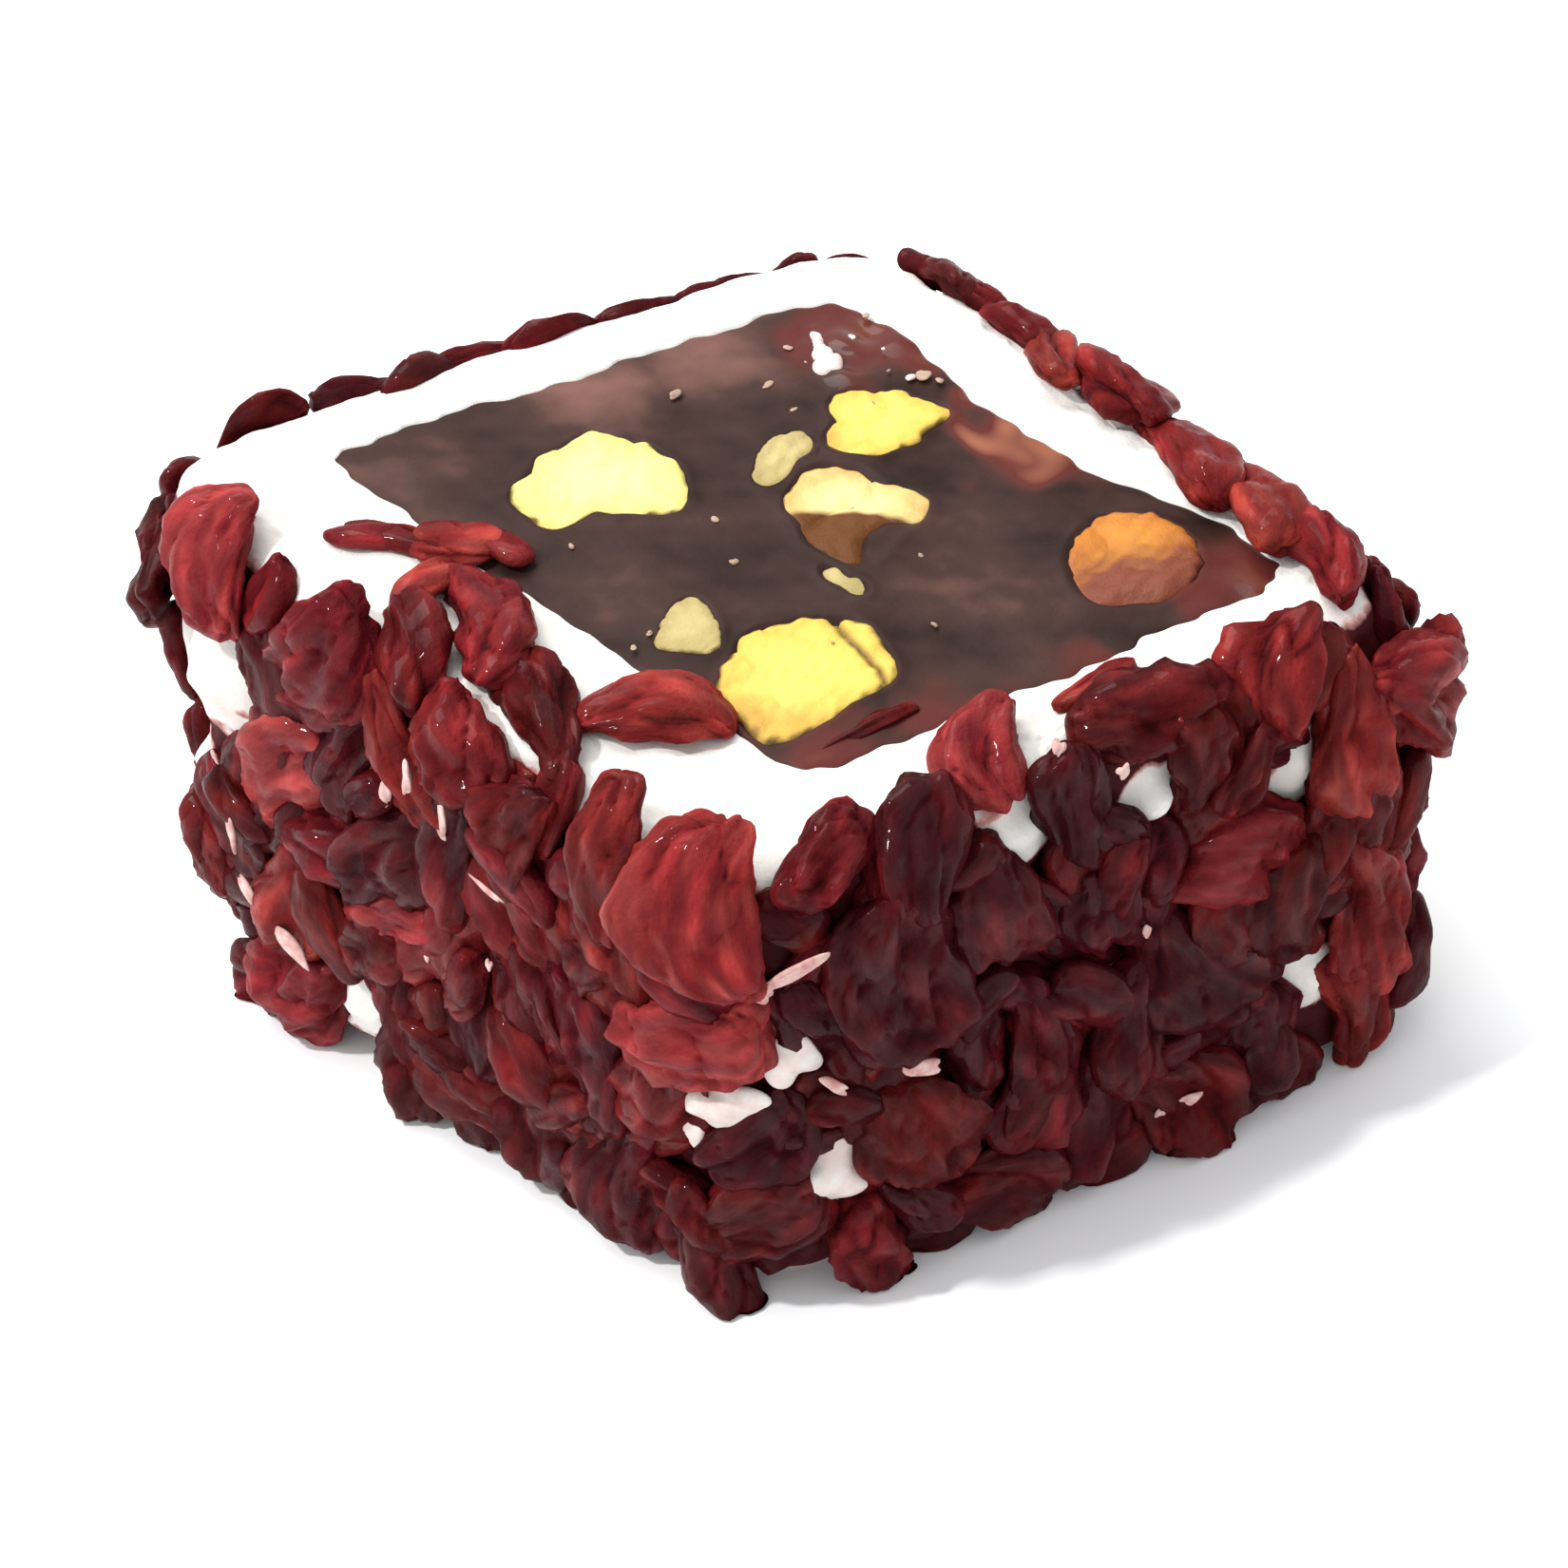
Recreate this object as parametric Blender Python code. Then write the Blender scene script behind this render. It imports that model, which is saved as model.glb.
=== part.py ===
"""Slice of rolled turkish delight: a dark jelly core with pistachios, wrapped in white nougat
that is coated with dried barberries.

Metres, +Z up. The slice rests on its lower cut face at z = 0. The front is -Y, where the redder
side of the coat is, and the sharpest corner of the slice is at -X, -Y.
"""
import math
import random
from collections import namedtuple

import bmesh
import bpy
from mathutils import Matrix, Vector
from mathutils.bvhtree import BVHTree

MM = 0.001

# Corners of the slice seen from above, in mm: left front, right front, right back, left back.
NOUGAT_BASE = ((-16.8, -23.6), (18.2, -16.8), (23.0, 17.0), (-14.6, 15.8))
NOUGAT_TOP = ((-24.2, -21.2), (18.4, -15.4), (20.6, 21.4), (-16.4, 16.2))
JELLY_BASE = ((-13.4, -16.6), (13.2, -11.8), (17.6, 12.6), (-11.0, 11.6))
JELLY_TOP = ((-18.6, -13.9), (13.7, -7.8), (16.3, 17.6), (-13.0, 12.4))
NOUGAT_SQUARENESS = 9.0
JELLY_SQUARENESS = 14.0

# The back of the jelly is dented: share of its half width, middle and half length in turns.
JELLY_DENT = 0.11
DENT_TURN = 0.265
DENT_SPAN = 0.065

# The upper cut face leans: its height at the middle in mm, and its rise per mm along X and Y.
TOP_HEIGHT = 24.7
TOP_RISE_X = -0.0486
TOP_RISE_Y = -0.0209

SIDE_BULGE = 0.02          # how far the sides swell at half height, as a share of the width
ROUND_OVER = 1.6           # radius of the nougat's outer edges, mm
HALF_WIDTH = 18.0          # half of the slice's width between opposite sides, mm
JELLY_HALF_WIDTH = 13.5    # the same for the jelly, mm
NODE_GAP = 0.3             # clear gap between neighbouring pieces, mm
JELLY_RECESS = 0.3         # jelly lies this far under the nougat's rim, mm
JELLY_DOME = 0.35          # rise of the jelly's middle over its edge, mm
JELLY_EDGE_DROP = 0.35     # how much lower the jelly's very edge is, mm

SLIVER = 0.03              # vertices closer than this are merged after a Boolean, mm

SLOPE_STEP = 0.004         # step in turn and level for measuring the wall's slope
SLOPE_LEVELS = (0.08, 0.92)

OUTLINE_STEPS = 64
WALL_LEVELS = (0.0, 0.02, 0.065, 0.3, 0.6, 0.935, 0.98, 1.0)
JELLY_RINGS = (1.0, 0.97, 0.55)

# Dried barberries: the flattened, wrinkled fruits of the coat.
BERRY_SEED = 20
PLACES_TRIED = 1400
BERRY_LEVELS = (0.06, 0.88)
BERRY_LENGTH = (6.2, 9.4)
BERRY_WIDTH = (3.8, 5.8)
BERRY_THICKNESS = (2.1, 3.1)
BERRY_LIFT = (0.45, 1.35)
BERRY_SPIN_SPREAD = 38     # spread of the lean from upright, degrees
BERRY_BEND = 0.1           # how far a berry's middle stands over its ends, mm
BERRY_SINK = 0.06          # how deep every berry is pressed in, mm
BERRY_ROOT = 1.5           # how much deeper than a plain spindle its inner side is, as a factor
BERRY_LIFT_LIMIT = 0.48    # most lift, as a share of the thickness
BERRY_SIDES = (5, 4)       # segments round a berry and along it
BERRY_SPACING = 3.8        # least distance between the middles of two berries, mm
FLOOR_CLEARANCE = 0.12     # berries stop this far above the floor, mm
GOLDEN_RATIO = 0.618034
CLEARING_STEP = 0.15       # a berry too near the jelly moves out by such steps, mm
CLEARING_TRIES = 20
CLEARING_SIDE = -0.5       # cosine to the jelly's outward normal from which a point is outside
LEAN_FROM = 0.92           # from this level on, berries lean over the rim
LEAN_SPAN = 0.12           # they lie flat on it after this much more

Berry = namedtuple("Berry", "turn level length width thickness spin lift tone")
Kernel = namedtuple("Kernel", "name x y length width depth spin seed")

# Berries that stand out. turn runs once round the slice (0 = middle of the right side, -0.25 =
# middle of the front), level runs from the floor (0) to the rim (1) and on over the rim, sizes are
# in mm and spin is in degrees from upright.
CHOSEN_BERRIES = (
    Berry(-0.329, 0.951, 6.9, 5.8, 3.0, -7, 1.0, 0.90),
    Berry(-0.286, 0.925, 8.4, 5.8, 3.2, 45, 1.2, 0.50),
    Berry(-0.305, 0.629, 8.6, 5.6, 3.2, 41, 1.2, 0.97),
    Berry(-0.314, 0.363, 9.2, 4.8, 2.8, 19, 1.1, 0.72),
    Berry(-0.275, 0.785, 8.0, 4.2, 2.6, 20, 0.9, 0.15),
    Berry(-0.263, 0.581, 9.0, 5.3, 3.0, 39, 1.2, 0.10),
    Berry(-0.327, 0.122, 8.4, 5.6, 3.0, 61, 1.2, 0.78),
    Berry(-0.372, 0.250, 8.6, 4.2, 2.6, 10, 1.3, 0.50),
    Berry(-0.354, 0.060, 6.4, 4.0, 2.6, 30, 1.2, 0.40),
    Berry(-0.258, 0.996, 6.8, 3.0, 2.6, -53, 0.8, 0.36),
    Berry(-0.254, 1.090, 8.2, 4.2, 2.8, -58, 0.9, 0.60),
    Berry(-0.225, 0.963, 6.8, 4.9, 3.0, -50, 1.1, 0.50),
    Berry(-0.208, 1.025, 8.4, 3.2, 2.6, -65, 0.9, 0.25),
    Berry(-0.200, 0.856, 8.6, 5.2, 2.8, 11, 1.1, 0.38),
    Berry(-0.165, 0.949, 8.0, 3.8, 2.8, -12, 1.1, 0.50),
    Berry(-0.233, 0.706, 8.4, 4.1, 2.6, 10, 0.9, 0.12),
    Berry(-0.267, 0.264, 9.0, 4.2, 2.6, 3, 1.0, 0.55),
    Berry(-0.237, 0.346, 8.8, 5.0, 2.6, -6, 1.0, 0.10),
    Berry(-0.204, 0.508, 8.0, 5.0, 2.6, -20, 1.0, 0.30),
    Berry(-0.180, 0.455, 9.0, 5.4, 2.8, -6, 1.1, 0.36),
    Berry(-0.133, 0.965, 8.4, 7.2, 3.6, -8, 1.2, 0.80),
    Berry(-0.139, 0.662, 8.4, 5.2, 3.2, 74, 1.3, 0.92),
    Berry(-0.215, 0.142, 7.0, 5.6, 2.6, -1, 1.0, 0.20),
    Berry(-0.173, 0.169, 7.9, 5.8, 2.8, 6, 1.0, 0.30),
    Berry(-0.026, 1.006, 5.6, 4.4, 3.0, 33, 0.9, 0.97),
    Berry(-0.060, 0.955, 6.8, 4.2, 2.8, 22, 1.1, 0.08),
    Berry(-0.091, 0.985, 5.8, 4.0, 2.8, 55, 0.9, 0.42),
    Berry(-0.072, 0.747, 9.6, 7.2, 3.6, -12, 1.4, 0.10),
    Berry(-0.099, 0.681, 7.0, 3.2, 2.6, -23, 1.0, 0.04),
    Berry(-0.036, 0.755, 6.7, 5.4, 3.0, -12, 1.1, 0.14),
    Berry(-0.025, 0.371, 9.4, 4.4, 2.8, 10, 1.2, 0.32),
    Berry(-0.069, 0.308, 9.0, 6.8, 3.4, -16, 1.4, 0.36),
    Berry(-0.118, 0.437, 6.0, 4.8, 2.8, 39, 1.0, 0.02),
    Berry(-0.123, 0.217, 7.2, 4.6, 2.8, 58, 1.2, 0.22),
    Berry(-0.084, 0.083, 7.0, 3.6, 3.0, -13, 1.6, 0.45),
    Berry(-0.037, 0.088, 6.7, 4.6, 2.8, -78, 1.2, 0.26),
    Berry(0.030, 0.100, 7.8, 6.2, 3.2, -17, 1.3, 0.26),
    Berry(0.027, 0.985, 7.8, 4.7, 3.2, -77, 1.1, 0.32),
    Berry(-0.006, 0.915, 6.4, 3.9, 2.6, 0, 0.9, 0.06),
    Berry(0.040, 0.870, 7.8, 5.2, 3.0, 10, 1.1, 0.26),
    Berry(0.054, 0.622, 7.2, 5.9, 3.0, -48, 1.3, 0.52),
    Berry(0.072, 0.968, 6.6, 4.4, 3.0, 38, 1.1, 0.42),
    Berry(0.093, 0.800, 9.2, 4.2, 3.0, 4, 1.2, 0.48),
    Berry(0.118, 0.820, 7.2, 5.8, 4.2, -49, 2.3, 0.42),
    Berry(0.098, 0.379, 9.4, 4.7, 3.0, 6, 1.2, 0.38),
    Berry(0.035, 0.415, 8.3, 6.6, 3.2, -39, 1.3, 0.04),
    Berry(0.009, 0.354, 7.3, 4.6, 2.8, 5, 1.1, 0.12),
    Berry(0.004, 0.675, 6.3, 4.6, 2.8, 5, 1.0, 0.10),
    Berry(0.058, 0.165, 7.2, 4.6, 2.8, 10, 1.1, 0.16),
    Berry(0.100, 0.140, 7.0, 3.6, 2.8, 0, 1.1, 0.44),
    Berry(-0.045, 0.512, 7.0, 3.8, 2.6, 2, 0.8, 0.08),
    Berry(0.253, 0.985, 7.2, 4.8, 2.8, -43, 0.9, 0.50),
    Berry(0.210, 1.010, 8.0, 3.5, 2.4, -71, 0.9, 0.72),
    Berry(0.173, 1.020, 7.5, 3.0, 2.4, -71, 0.9, 0.66),
    Berry(0.141, 1.005, 7.0, 3.0, 2.4, -88, 0.9, 0.40),
)

# Places left bare, where the white nougat shows: turn, level and radius in mm.
BARE_SPOTS = (
    (-0.377, 1.00, 2.8), (-0.344, 0.69, 4.3), (-0.303, 0.14, 3.0), (-0.135, 0.47, 2.4),
    (-0.108, 0.64, 2.4), (-0.093, 0.28, 2.4), (-0.025, 0.89, 2.6), (0.022, 0.84, 2.2),
    (0.075, 0.76, 2.3), (0.081, 0.26, 2.4), (-0.124, 1.07, 2.8), (0.005, 1.03, 2.4),
    (0.143, 1.00, 2.4), (-0.050, 1.14, 2.6), (-0.365, 0.45, 2.2), (0.320, 0.55, 2.6),
    (0.430, 0.35, 2.6), (-0.440, 0.66, 2.6), (0.220, 0.24, 2.5), (0.360, 0.82, 2.5),
)

# Along the rear left rim and the rear corner no berry's middle is this near to the rim, in mm.
LOW_RIM_TURNS = (0.285, 0.315, 0.350, 0.385, 0.420, 0.455, 0.490, -0.475, -0.440, -0.410)
LOW_RIM_RADIUS = 6.0

# Pistachio pieces set in the jelly: middle on the face, length, width and depth in mm.
TOP_KERNELS = (
    Kernel("pistachio_left", -8.9, -4.1, 9.0, 7.2, 4.2, 49, 1),
    Kernel("pistachio_rear", -4.1, 8.0, 6.2, 4.6, 3.4, 52, 2),
    Kernel("pistachio_rear_sliver", -4.9, 3.6, 4.6, 2.8, 2.2, 75, 3),
    Kernel("pistachio_middle", 0.5, 3.8, 6.8, 5.6, 3.8, 40, 4),
    Kernel("pistachio_middle_sliver", 4.4, 0.8, 3.4, 2.2, 2.0, 20, 5),
    Kernel("pistachio_right", 10.5, 11.9, 6.0, 5.8, 4.0, 49, 6),
    Kernel("pistachio_front_small", 2.0, -6.3, 3.6, 3.4, 2.6, 60, 7),
    Kernel("pistachio_front", 8.0, -3.7, 9.0, 7.0, 4.2, 49, 8),
)
BOTTOM_KERNELS = (
    Kernel("pistachio_base_left", -6.6, -6.0, 8.2, 6.4, 4.0, 20, 11),
    Kernel("pistachio_base_right", 8.4, 3.6, 8.8, 6.8, 4.2, 70, 12),
    Kernel("pistachio_base_rear", -3.8, 5.6, 6.2, 5.0, 3.4, 115, 13),
    Kernel("pistachio_base_front", 4.6, -6.6, 5.0, 3.8, 2.8, 35, 14),
)

KERNEL_STRAIGHT = 1.5      # straight part of a kernel's side at the cut face, mm
KERNEL_PROUD = 0.2         # kernels stand this far over the jelly's edge, mm
KERNEL_SIDES = (12, 6)     # segments round a kernel and along it
KERNEL_EQUATOR = -0.01     # from this height on, a kernel's unit ball is moved up by that part
KERNEL_FLOOR_GAP = 0.15    # lower kernels stop this far above the floor, mm

# Waves in a kernel's outline: how many round it, and how deep as a share of its radius.
KERNEL_WAVES = ((3, 0.07), (5, 0.05))
KERNEL_LAYERS = (4, 0.04)  # the same for waves along its depth

JELLY_COLOUR = (0.060, 0.030, 0.030)
BERRY_COLOUR = (0.150, 0.020, 0.020)
KERNEL_COLOUR = (0.78, 0.68, 0.22)
JELLY_ROUGHNESS = 0.35
BERRY_ROUGHNESS = 0.4
KERNEL_ROUGHNESS = 0.5


def clear_scene():
    """Remove every object that the file starts with."""
    for item in list(bpy.data.objects):
        bpy.data.objects.remove(item, do_unlink=True)


def make_material(name, colour, roughness):
    """Principled material with one colour and one roughness."""
    material = bpy.data.materials.new(name)
    material.use_nodes = True
    shader = material.node_tree.nodes["Principled BSDF"]
    shader.inputs["Base Color"].default_value = (*colour, 1.0)
    shader.inputs["Roughness"].default_value = roughness
    shader.inputs["Metallic"].default_value = 0.0
    return material


def link_mesh(name, mesh_tools, material=None, smooth=True):
    """Turn a bmesh, in mm, into an object in metres."""
    bmesh.ops.scale(mesh_tools, vec=(MM, MM, MM), verts=mesh_tools.verts)
    bmesh.ops.recalc_face_normals(mesh_tools, faces=mesh_tools.faces)
    mesh = bpy.data.meshes.new(name)
    mesh_tools.to_mesh(mesh)
    mesh_tools.free()
    if material:
        mesh.materials.append(material)
    for face in mesh.polygons:
        face.use_smooth = smooth
    item = bpy.data.objects.new(name, mesh)
    bpy.context.scene.collection.objects.link(item)
    return item


def top_height(x, y):
    """Height of the leaning upper cut face over a point of the floor, mm."""
    return TOP_HEIGHT + TOP_RISE_X * x + TOP_RISE_Y * y


def square_point(turn, squareness):
    """Point of a rounded square of half side 1, evenly spaced along its sides."""
    quarter = round(4 * turn)
    angle = math.pi / 2 * quarter + math.atan(2 * (4 * turn - quarter))
    across, along = math.cos(angle), math.sin(angle)
    radius = (abs(across) ** squareness + abs(along) ** squareness) ** (-1 / squareness)
    return radius * across, radius * along


def in_quad(corners, a, b):
    """Stretch square coordinates a, b in -1..1 over four corners."""
    left, front, right, back = (Vector(corner) for corner in corners)
    return ((1 - a) * (1 - b) * left + (1 + a) * (1 - b) * front
            + (1 + a) * (1 + b) * right + (1 - a) * (1 + b) * back) / 4


def column_point(base, top, turn, level, scale, squareness):
    """Point between the base outline (level 0) and the top outline (level 1), on the floor plan."""
    a, b = square_point(turn, squareness)
    lower = in_quad(base, a * scale, b * scale)
    upper = in_quad(top, a * scale, b * scale)
    return lower.lerp(upper, level)


def nougat_scale(level):
    """Width of the nougat block at a level, with swelling sides and rounded outer edges."""
    reach = ROUND_OVER / TOP_HEIGHT
    into_edge = max(0.0, 1 - level / reach, 1 - (1 - level) / reach)
    inset = (1 - math.sqrt(1 - into_edge ** 2)) * ROUND_OVER / HALF_WIDTH
    return 1 + SIDE_BULGE * math.sin(math.pi * level) - inset


def nougat_wall(turn, level):
    """Point of the nougat's outer wall, mm; past level 1 it goes inwards over the rim."""
    over_rim = max(level - 1, 0.0)
    level = min(level, 1.0)
    scale = nougat_scale(level) - over_rim * TOP_HEIGHT / HALF_WIDTH
    spot = column_point(NOUGAT_BASE, NOUGAT_TOP, turn, level, scale, NOUGAT_SQUARENESS)
    return Vector((spot.x, spot.y, level * top_height(spot.x, spot.y)))


def jelly_spot(turn, level, scale):
    """Point of the jelly's outline on the floor plan, with the dent in its back."""
    dent = JELLY_DENT * math.exp(-((turn - DENT_TURN) / DENT_SPAN) ** 4)
    return column_point(JELLY_BASE, JELLY_TOP, turn, level, scale * (1 - dent), JELLY_SQUARENESS)


def nougat_normal(turn, level):
    """Outward direction of the nougat's wall."""
    low, high = SLOPE_LEVELS
    level = min(max(level, low), high)
    around = nougat_wall(turn + SLOPE_STEP, level) - nougat_wall(turn - SLOPE_STEP, level)
    upward = nougat_wall(turn, level + SLOPE_STEP) - nougat_wall(turn, level - SLOPE_STEP)
    return around.cross(upward).normalized()


def bridge(mesh_tools, lower, upper):
    """Faces between two rings of vertices."""
    count = len(lower)
    for index in range(count):
        after = (index + 1) % count
        mesh_tools.faces.new((lower[index], lower[after], upper[after], upper[index]))


def build_nougat_ring():
    """White wrap: a ring from the outer wall over the rim, down the inner wall and back."""
    mesh_tools = bmesh.new()
    turns = [index / OUTLINE_STEPS - 0.5 for index in range(OUTLINE_STEPS)]
    inner_scale = 1 + NODE_GAP / JELLY_HALF_WIDTH

    def inner(turn, level):
        spot = jelly_spot(turn, level, inner_scale)
        return Vector((spot.x, spot.y, level * top_height(spot.x, spot.y)))

    profile = [lambda turn, level=level: nougat_wall(turn, level) for level in WALL_LEVELS]
    profile.append(lambda turn: nougat_wall(turn, 1.0).lerp(inner(turn, 1.0), 0.5))
    for level in (1.0, 0.5, 0.0):
        profile.append(lambda turn, level=level: inner(turn, level))
    profile.append(lambda turn: nougat_wall(turn, 0.0).lerp(inner(turn, 0.0), 0.5))
    rings = [[mesh_tools.verts.new(point(turn)) for turn in turns] for point in profile]
    for lower, upper in zip(rings, rings[1:] + rings[:1]):
        bridge(mesh_tools, lower, upper)
    bmesh.ops.triangulate(mesh_tools, faces=mesh_tools.faces)
    return link_mesh("nougat_wrap", mesh_tools)


def jelly_height(x, y, share):
    """Height of the jelly's upper face; share runs from 0 in the middle to 1 at its edge."""
    edge_drop = JELLY_EDGE_DROP if share >= 1 else 0.0
    return top_height(x, y) - JELLY_RECESS + JELLY_DOME * (1 - share * share) - edge_drop


def build_jelly_block():
    """Dark core: a column with a slightly domed upper face and a flat underside."""
    mesh_tools = bmesh.new()
    turns = [index / OUTLINE_STEPS - 0.5 for index in range(OUTLINE_STEPS)]

    def ring(level, share, height=None):
        vertices = []
        for turn in turns:
            spot = jelly_spot(turn, level, share)
            z = jelly_height(spot.x, spot.y, share) if height is None else height
            vertices.append(mesh_tools.verts.new((spot.x, spot.y, z)))
        return vertices

    rings = [ring(0.0, 1.0, 0.0)] + [ring(1.0, share) for share in JELLY_RINGS]
    for lower, upper in zip(rings, rings[1:]):
        bridge(mesh_tools, lower, upper)
    mesh_tools.faces.new(rings[0])
    spot = jelly_spot(0.0, 1.0, 0.0)
    centre = mesh_tools.verts.new((spot.x, spot.y, jelly_height(spot.x, spot.y, 0.0)))
    for index in range(OUTLINE_STEPS):
        after = (index + 1) % OUTLINE_STEPS
        mesh_tools.faces.new((rings[-1][index], rings[-1][after], centre))
    uneven = [face for face in mesh_tools.faces if len(face.verts) == 4]
    bmesh.ops.triangulate(mesh_tools, faces=uneven)
    return link_mesh("jelly_core", mesh_tools)


def merge_slivers(item):
    """Merge the nearly coinciding vertices that a Boolean leaves, and triangulate."""
    mesh_tools = bmesh.new()
    mesh_tools.from_mesh(item.data)
    bmesh.ops.remove_doubles(mesh_tools, verts=mesh_tools.verts, dist=SLIVER * MM)
    bmesh.ops.dissolve_degenerate(mesh_tools, edges=mesh_tools.edges, dist=SLIVER * MM / 4)
    bmesh.ops.triangulate(mesh_tools, faces=mesh_tools.faces)
    mesh_tools.to_mesh(item.data)
    mesh_tools.free()


def choose_berries():
    """The chosen berries first, then filling ones wherever the wall has room for one more.

    The places tried follow a golden-ratio spiral round the wall, so they are spread evenly.
    """
    draw = random.Random(BERRY_SEED)
    berries = list(CHOSEN_BERRIES)
    taken = [nougat_wall(berry.turn, berry.level) for berry in CHOSEN_BERRIES]
    bare = [(nougat_wall(turn, level), radius) for turn, level, radius in BARE_SPOTS]
    bare += [(nougat_wall(turn, 1.0), LOW_RIM_RADIUS) for turn in LOW_RIM_TURNS]
    for index in range(PLACES_TRIED):
        turn = (index * GOLDEN_RATIO) % 1.0 - 0.5
        level = BERRY_LEVELS[0] + (BERRY_LEVELS[1] - BERRY_LEVELS[0]) * draw.random()
        berry = Berry(turn, level, draw.uniform(*BERRY_LENGTH), draw.uniform(*BERRY_WIDTH),
                      draw.uniform(*BERRY_THICKNESS), draw.gauss(0, BERRY_SPIN_SPREAD),
                      draw.uniform(*BERRY_LIFT), draw.random())
        spot = nougat_wall(turn, level)
        has_room = all((spot - other).length > BERRY_SPACING for other in taken)
        if has_room and all((spot - other).length > radius for other, radius in bare):
            berries.append(berry)
            taken.append(spot)
    return berries


def berry_axes(berry):
    """Outward and upright direction at a berry, both turned inwards where it leans over the rim."""
    outward = nougat_normal(berry.turn, berry.level)
    upright = (Vector((0, 0, 1)) - outward * outward.z).normalized()
    lean = math.pi / 2 * min(max((berry.level - LEAN_FROM) / LEAN_SPAN, 0.0), 1.0)
    return (outward * math.cos(lean) + upright * math.sin(lean),
            upright * math.cos(lean) - outward * math.sin(lean))


def berry_frame(berry):
    """Place of a berry: X along its width, Y along its thickness, Z along its length."""
    outward, upright = berry_axes(berry)
    sideways = upright.cross(outward)
    spin = math.radians(berry.spin)
    length_axis = upright * math.cos(spin) + sideways * math.sin(spin)
    width_axis = length_axis.cross(outward)
    turn_matrix = Matrix((width_axis, outward, length_axis)).transposed().to_4x4()
    lift = min(berry.lift, BERRY_LIFT_LIMIT * berry.thickness)
    centre = nougat_wall(berry.turn, berry.level) + outward * lift
    return Matrix.Translation(centre) @ turn_matrix


def build_berry(index, berry, jelly_tree):
    """One berry with few sides: a bent, flattened spindle, moved outwards till clear of the jelly."""
    mesh_tools = bmesh.new()
    bmesh.ops.create_uvsphere(mesh_tools, u_segments=BERRY_SIDES[0], v_segments=BERRY_SIDES[1],
                              radius=0.5)
    for vertex in mesh_tools.verts:
        x, y, z = vertex.co
        bend = BERRY_BEND * (1 - 4 * z * z) - BERRY_SINK
        depth = y if y > 0 else y * BERRY_ROOT
        vertex.co = (x * berry.width, depth * berry.thickness + bend, z * berry.length)
    bmesh.ops.transform(mesh_tools, matrix=berry_frame(berry), verts=mesh_tools.verts)
    outward = berry_axes(berry)[0]
    for _ in range(CLEARING_TRIES):
        if all(clear_of(jelly_tree, vertex.co) for vertex in mesh_tools.verts):
            break
        bmesh.ops.translate(mesh_tools, vec=outward * CLEARING_STEP, verts=mesh_tools.verts)
    for vertex in mesh_tools.verts:
        vertex.co.z = max(vertex.co.z, FLOOR_CLEARANCE)
    bmesh.ops.triangulate(mesh_tools, faces=mesh_tools.faces)
    return link_mesh("berry_%03d" % index, mesh_tools)


def clear_of(tree, point):
    """Whether a point, in mm, is outside a closed surface by more than the gap between nodes."""
    nearest, normal, _, distance = tree.find_nearest(point * MM)
    outside = (point * MM - nearest).dot(normal) > CLEARING_SIDE * distance
    return outside and distance > NODE_GAP * MM


def keep_largest_shell(item):
    """Drop loose scraps and sealed hollows: every shell but the one with the most faces."""
    mesh_tools = bmesh.new()
    mesh_tools.from_mesh(item.data)
    unseen = set(mesh_tools.faces)
    shells = []
    while unseen:
        shell = []
        queue = [unseen.pop()]
        while queue:
            face = queue.pop()
            shell.append(face)
            for edge in face.edges:
                for neighbour in edge.link_faces:
                    if neighbour in unseen:
                        unseen.remove(neighbour)
                        queue.append(neighbour)
        shells.append(shell)
    shells.sort(key=len, reverse=True)
    print("shells left out:", [len(shell) for shell in shells[1:]])
    for shell in shells[1:]:
        bmesh.ops.delete(mesh_tools, geom=shell, context="FACES")
    mesh_tools.to_mesh(item.data)
    mesh_tools.free()


def apply_boolean(item, tools, operation, solver):
    """Join or cut with a collection of objects, apply the result and remove the tools."""
    collection = bpy.data.collections.new("tools_for_" + item.name)
    bpy.context.scene.collection.children.link(collection)
    for tool in tools:
        bpy.context.scene.collection.objects.unlink(tool)
        collection.objects.link(tool)
    modifier = item.modifiers.new("shape", "BOOLEAN")
    modifier.operand_type = "COLLECTION"
    modifier.collection = collection
    modifier.operation = operation
    modifier.solver = solver
    bpy.context.view_layer.update()
    result = bpy.data.meshes.new_from_object(item.evaluated_get(
        bpy.context.evaluated_depsgraph_get()))
    item.modifiers.clear()
    item.data = result
    for tool in list(collection.objects):
        bpy.data.objects.remove(tool, do_unlink=True)
    bpy.data.collections.remove(collection)


def face_height(kernel, on_top):
    """Height of a kernel's cut face, mm."""
    if on_top:
        return top_height(kernel.x, kernel.y) - JELLY_RECESS + KERNEL_PROUD
    return KERNEL_FLOOR_GAP


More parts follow.
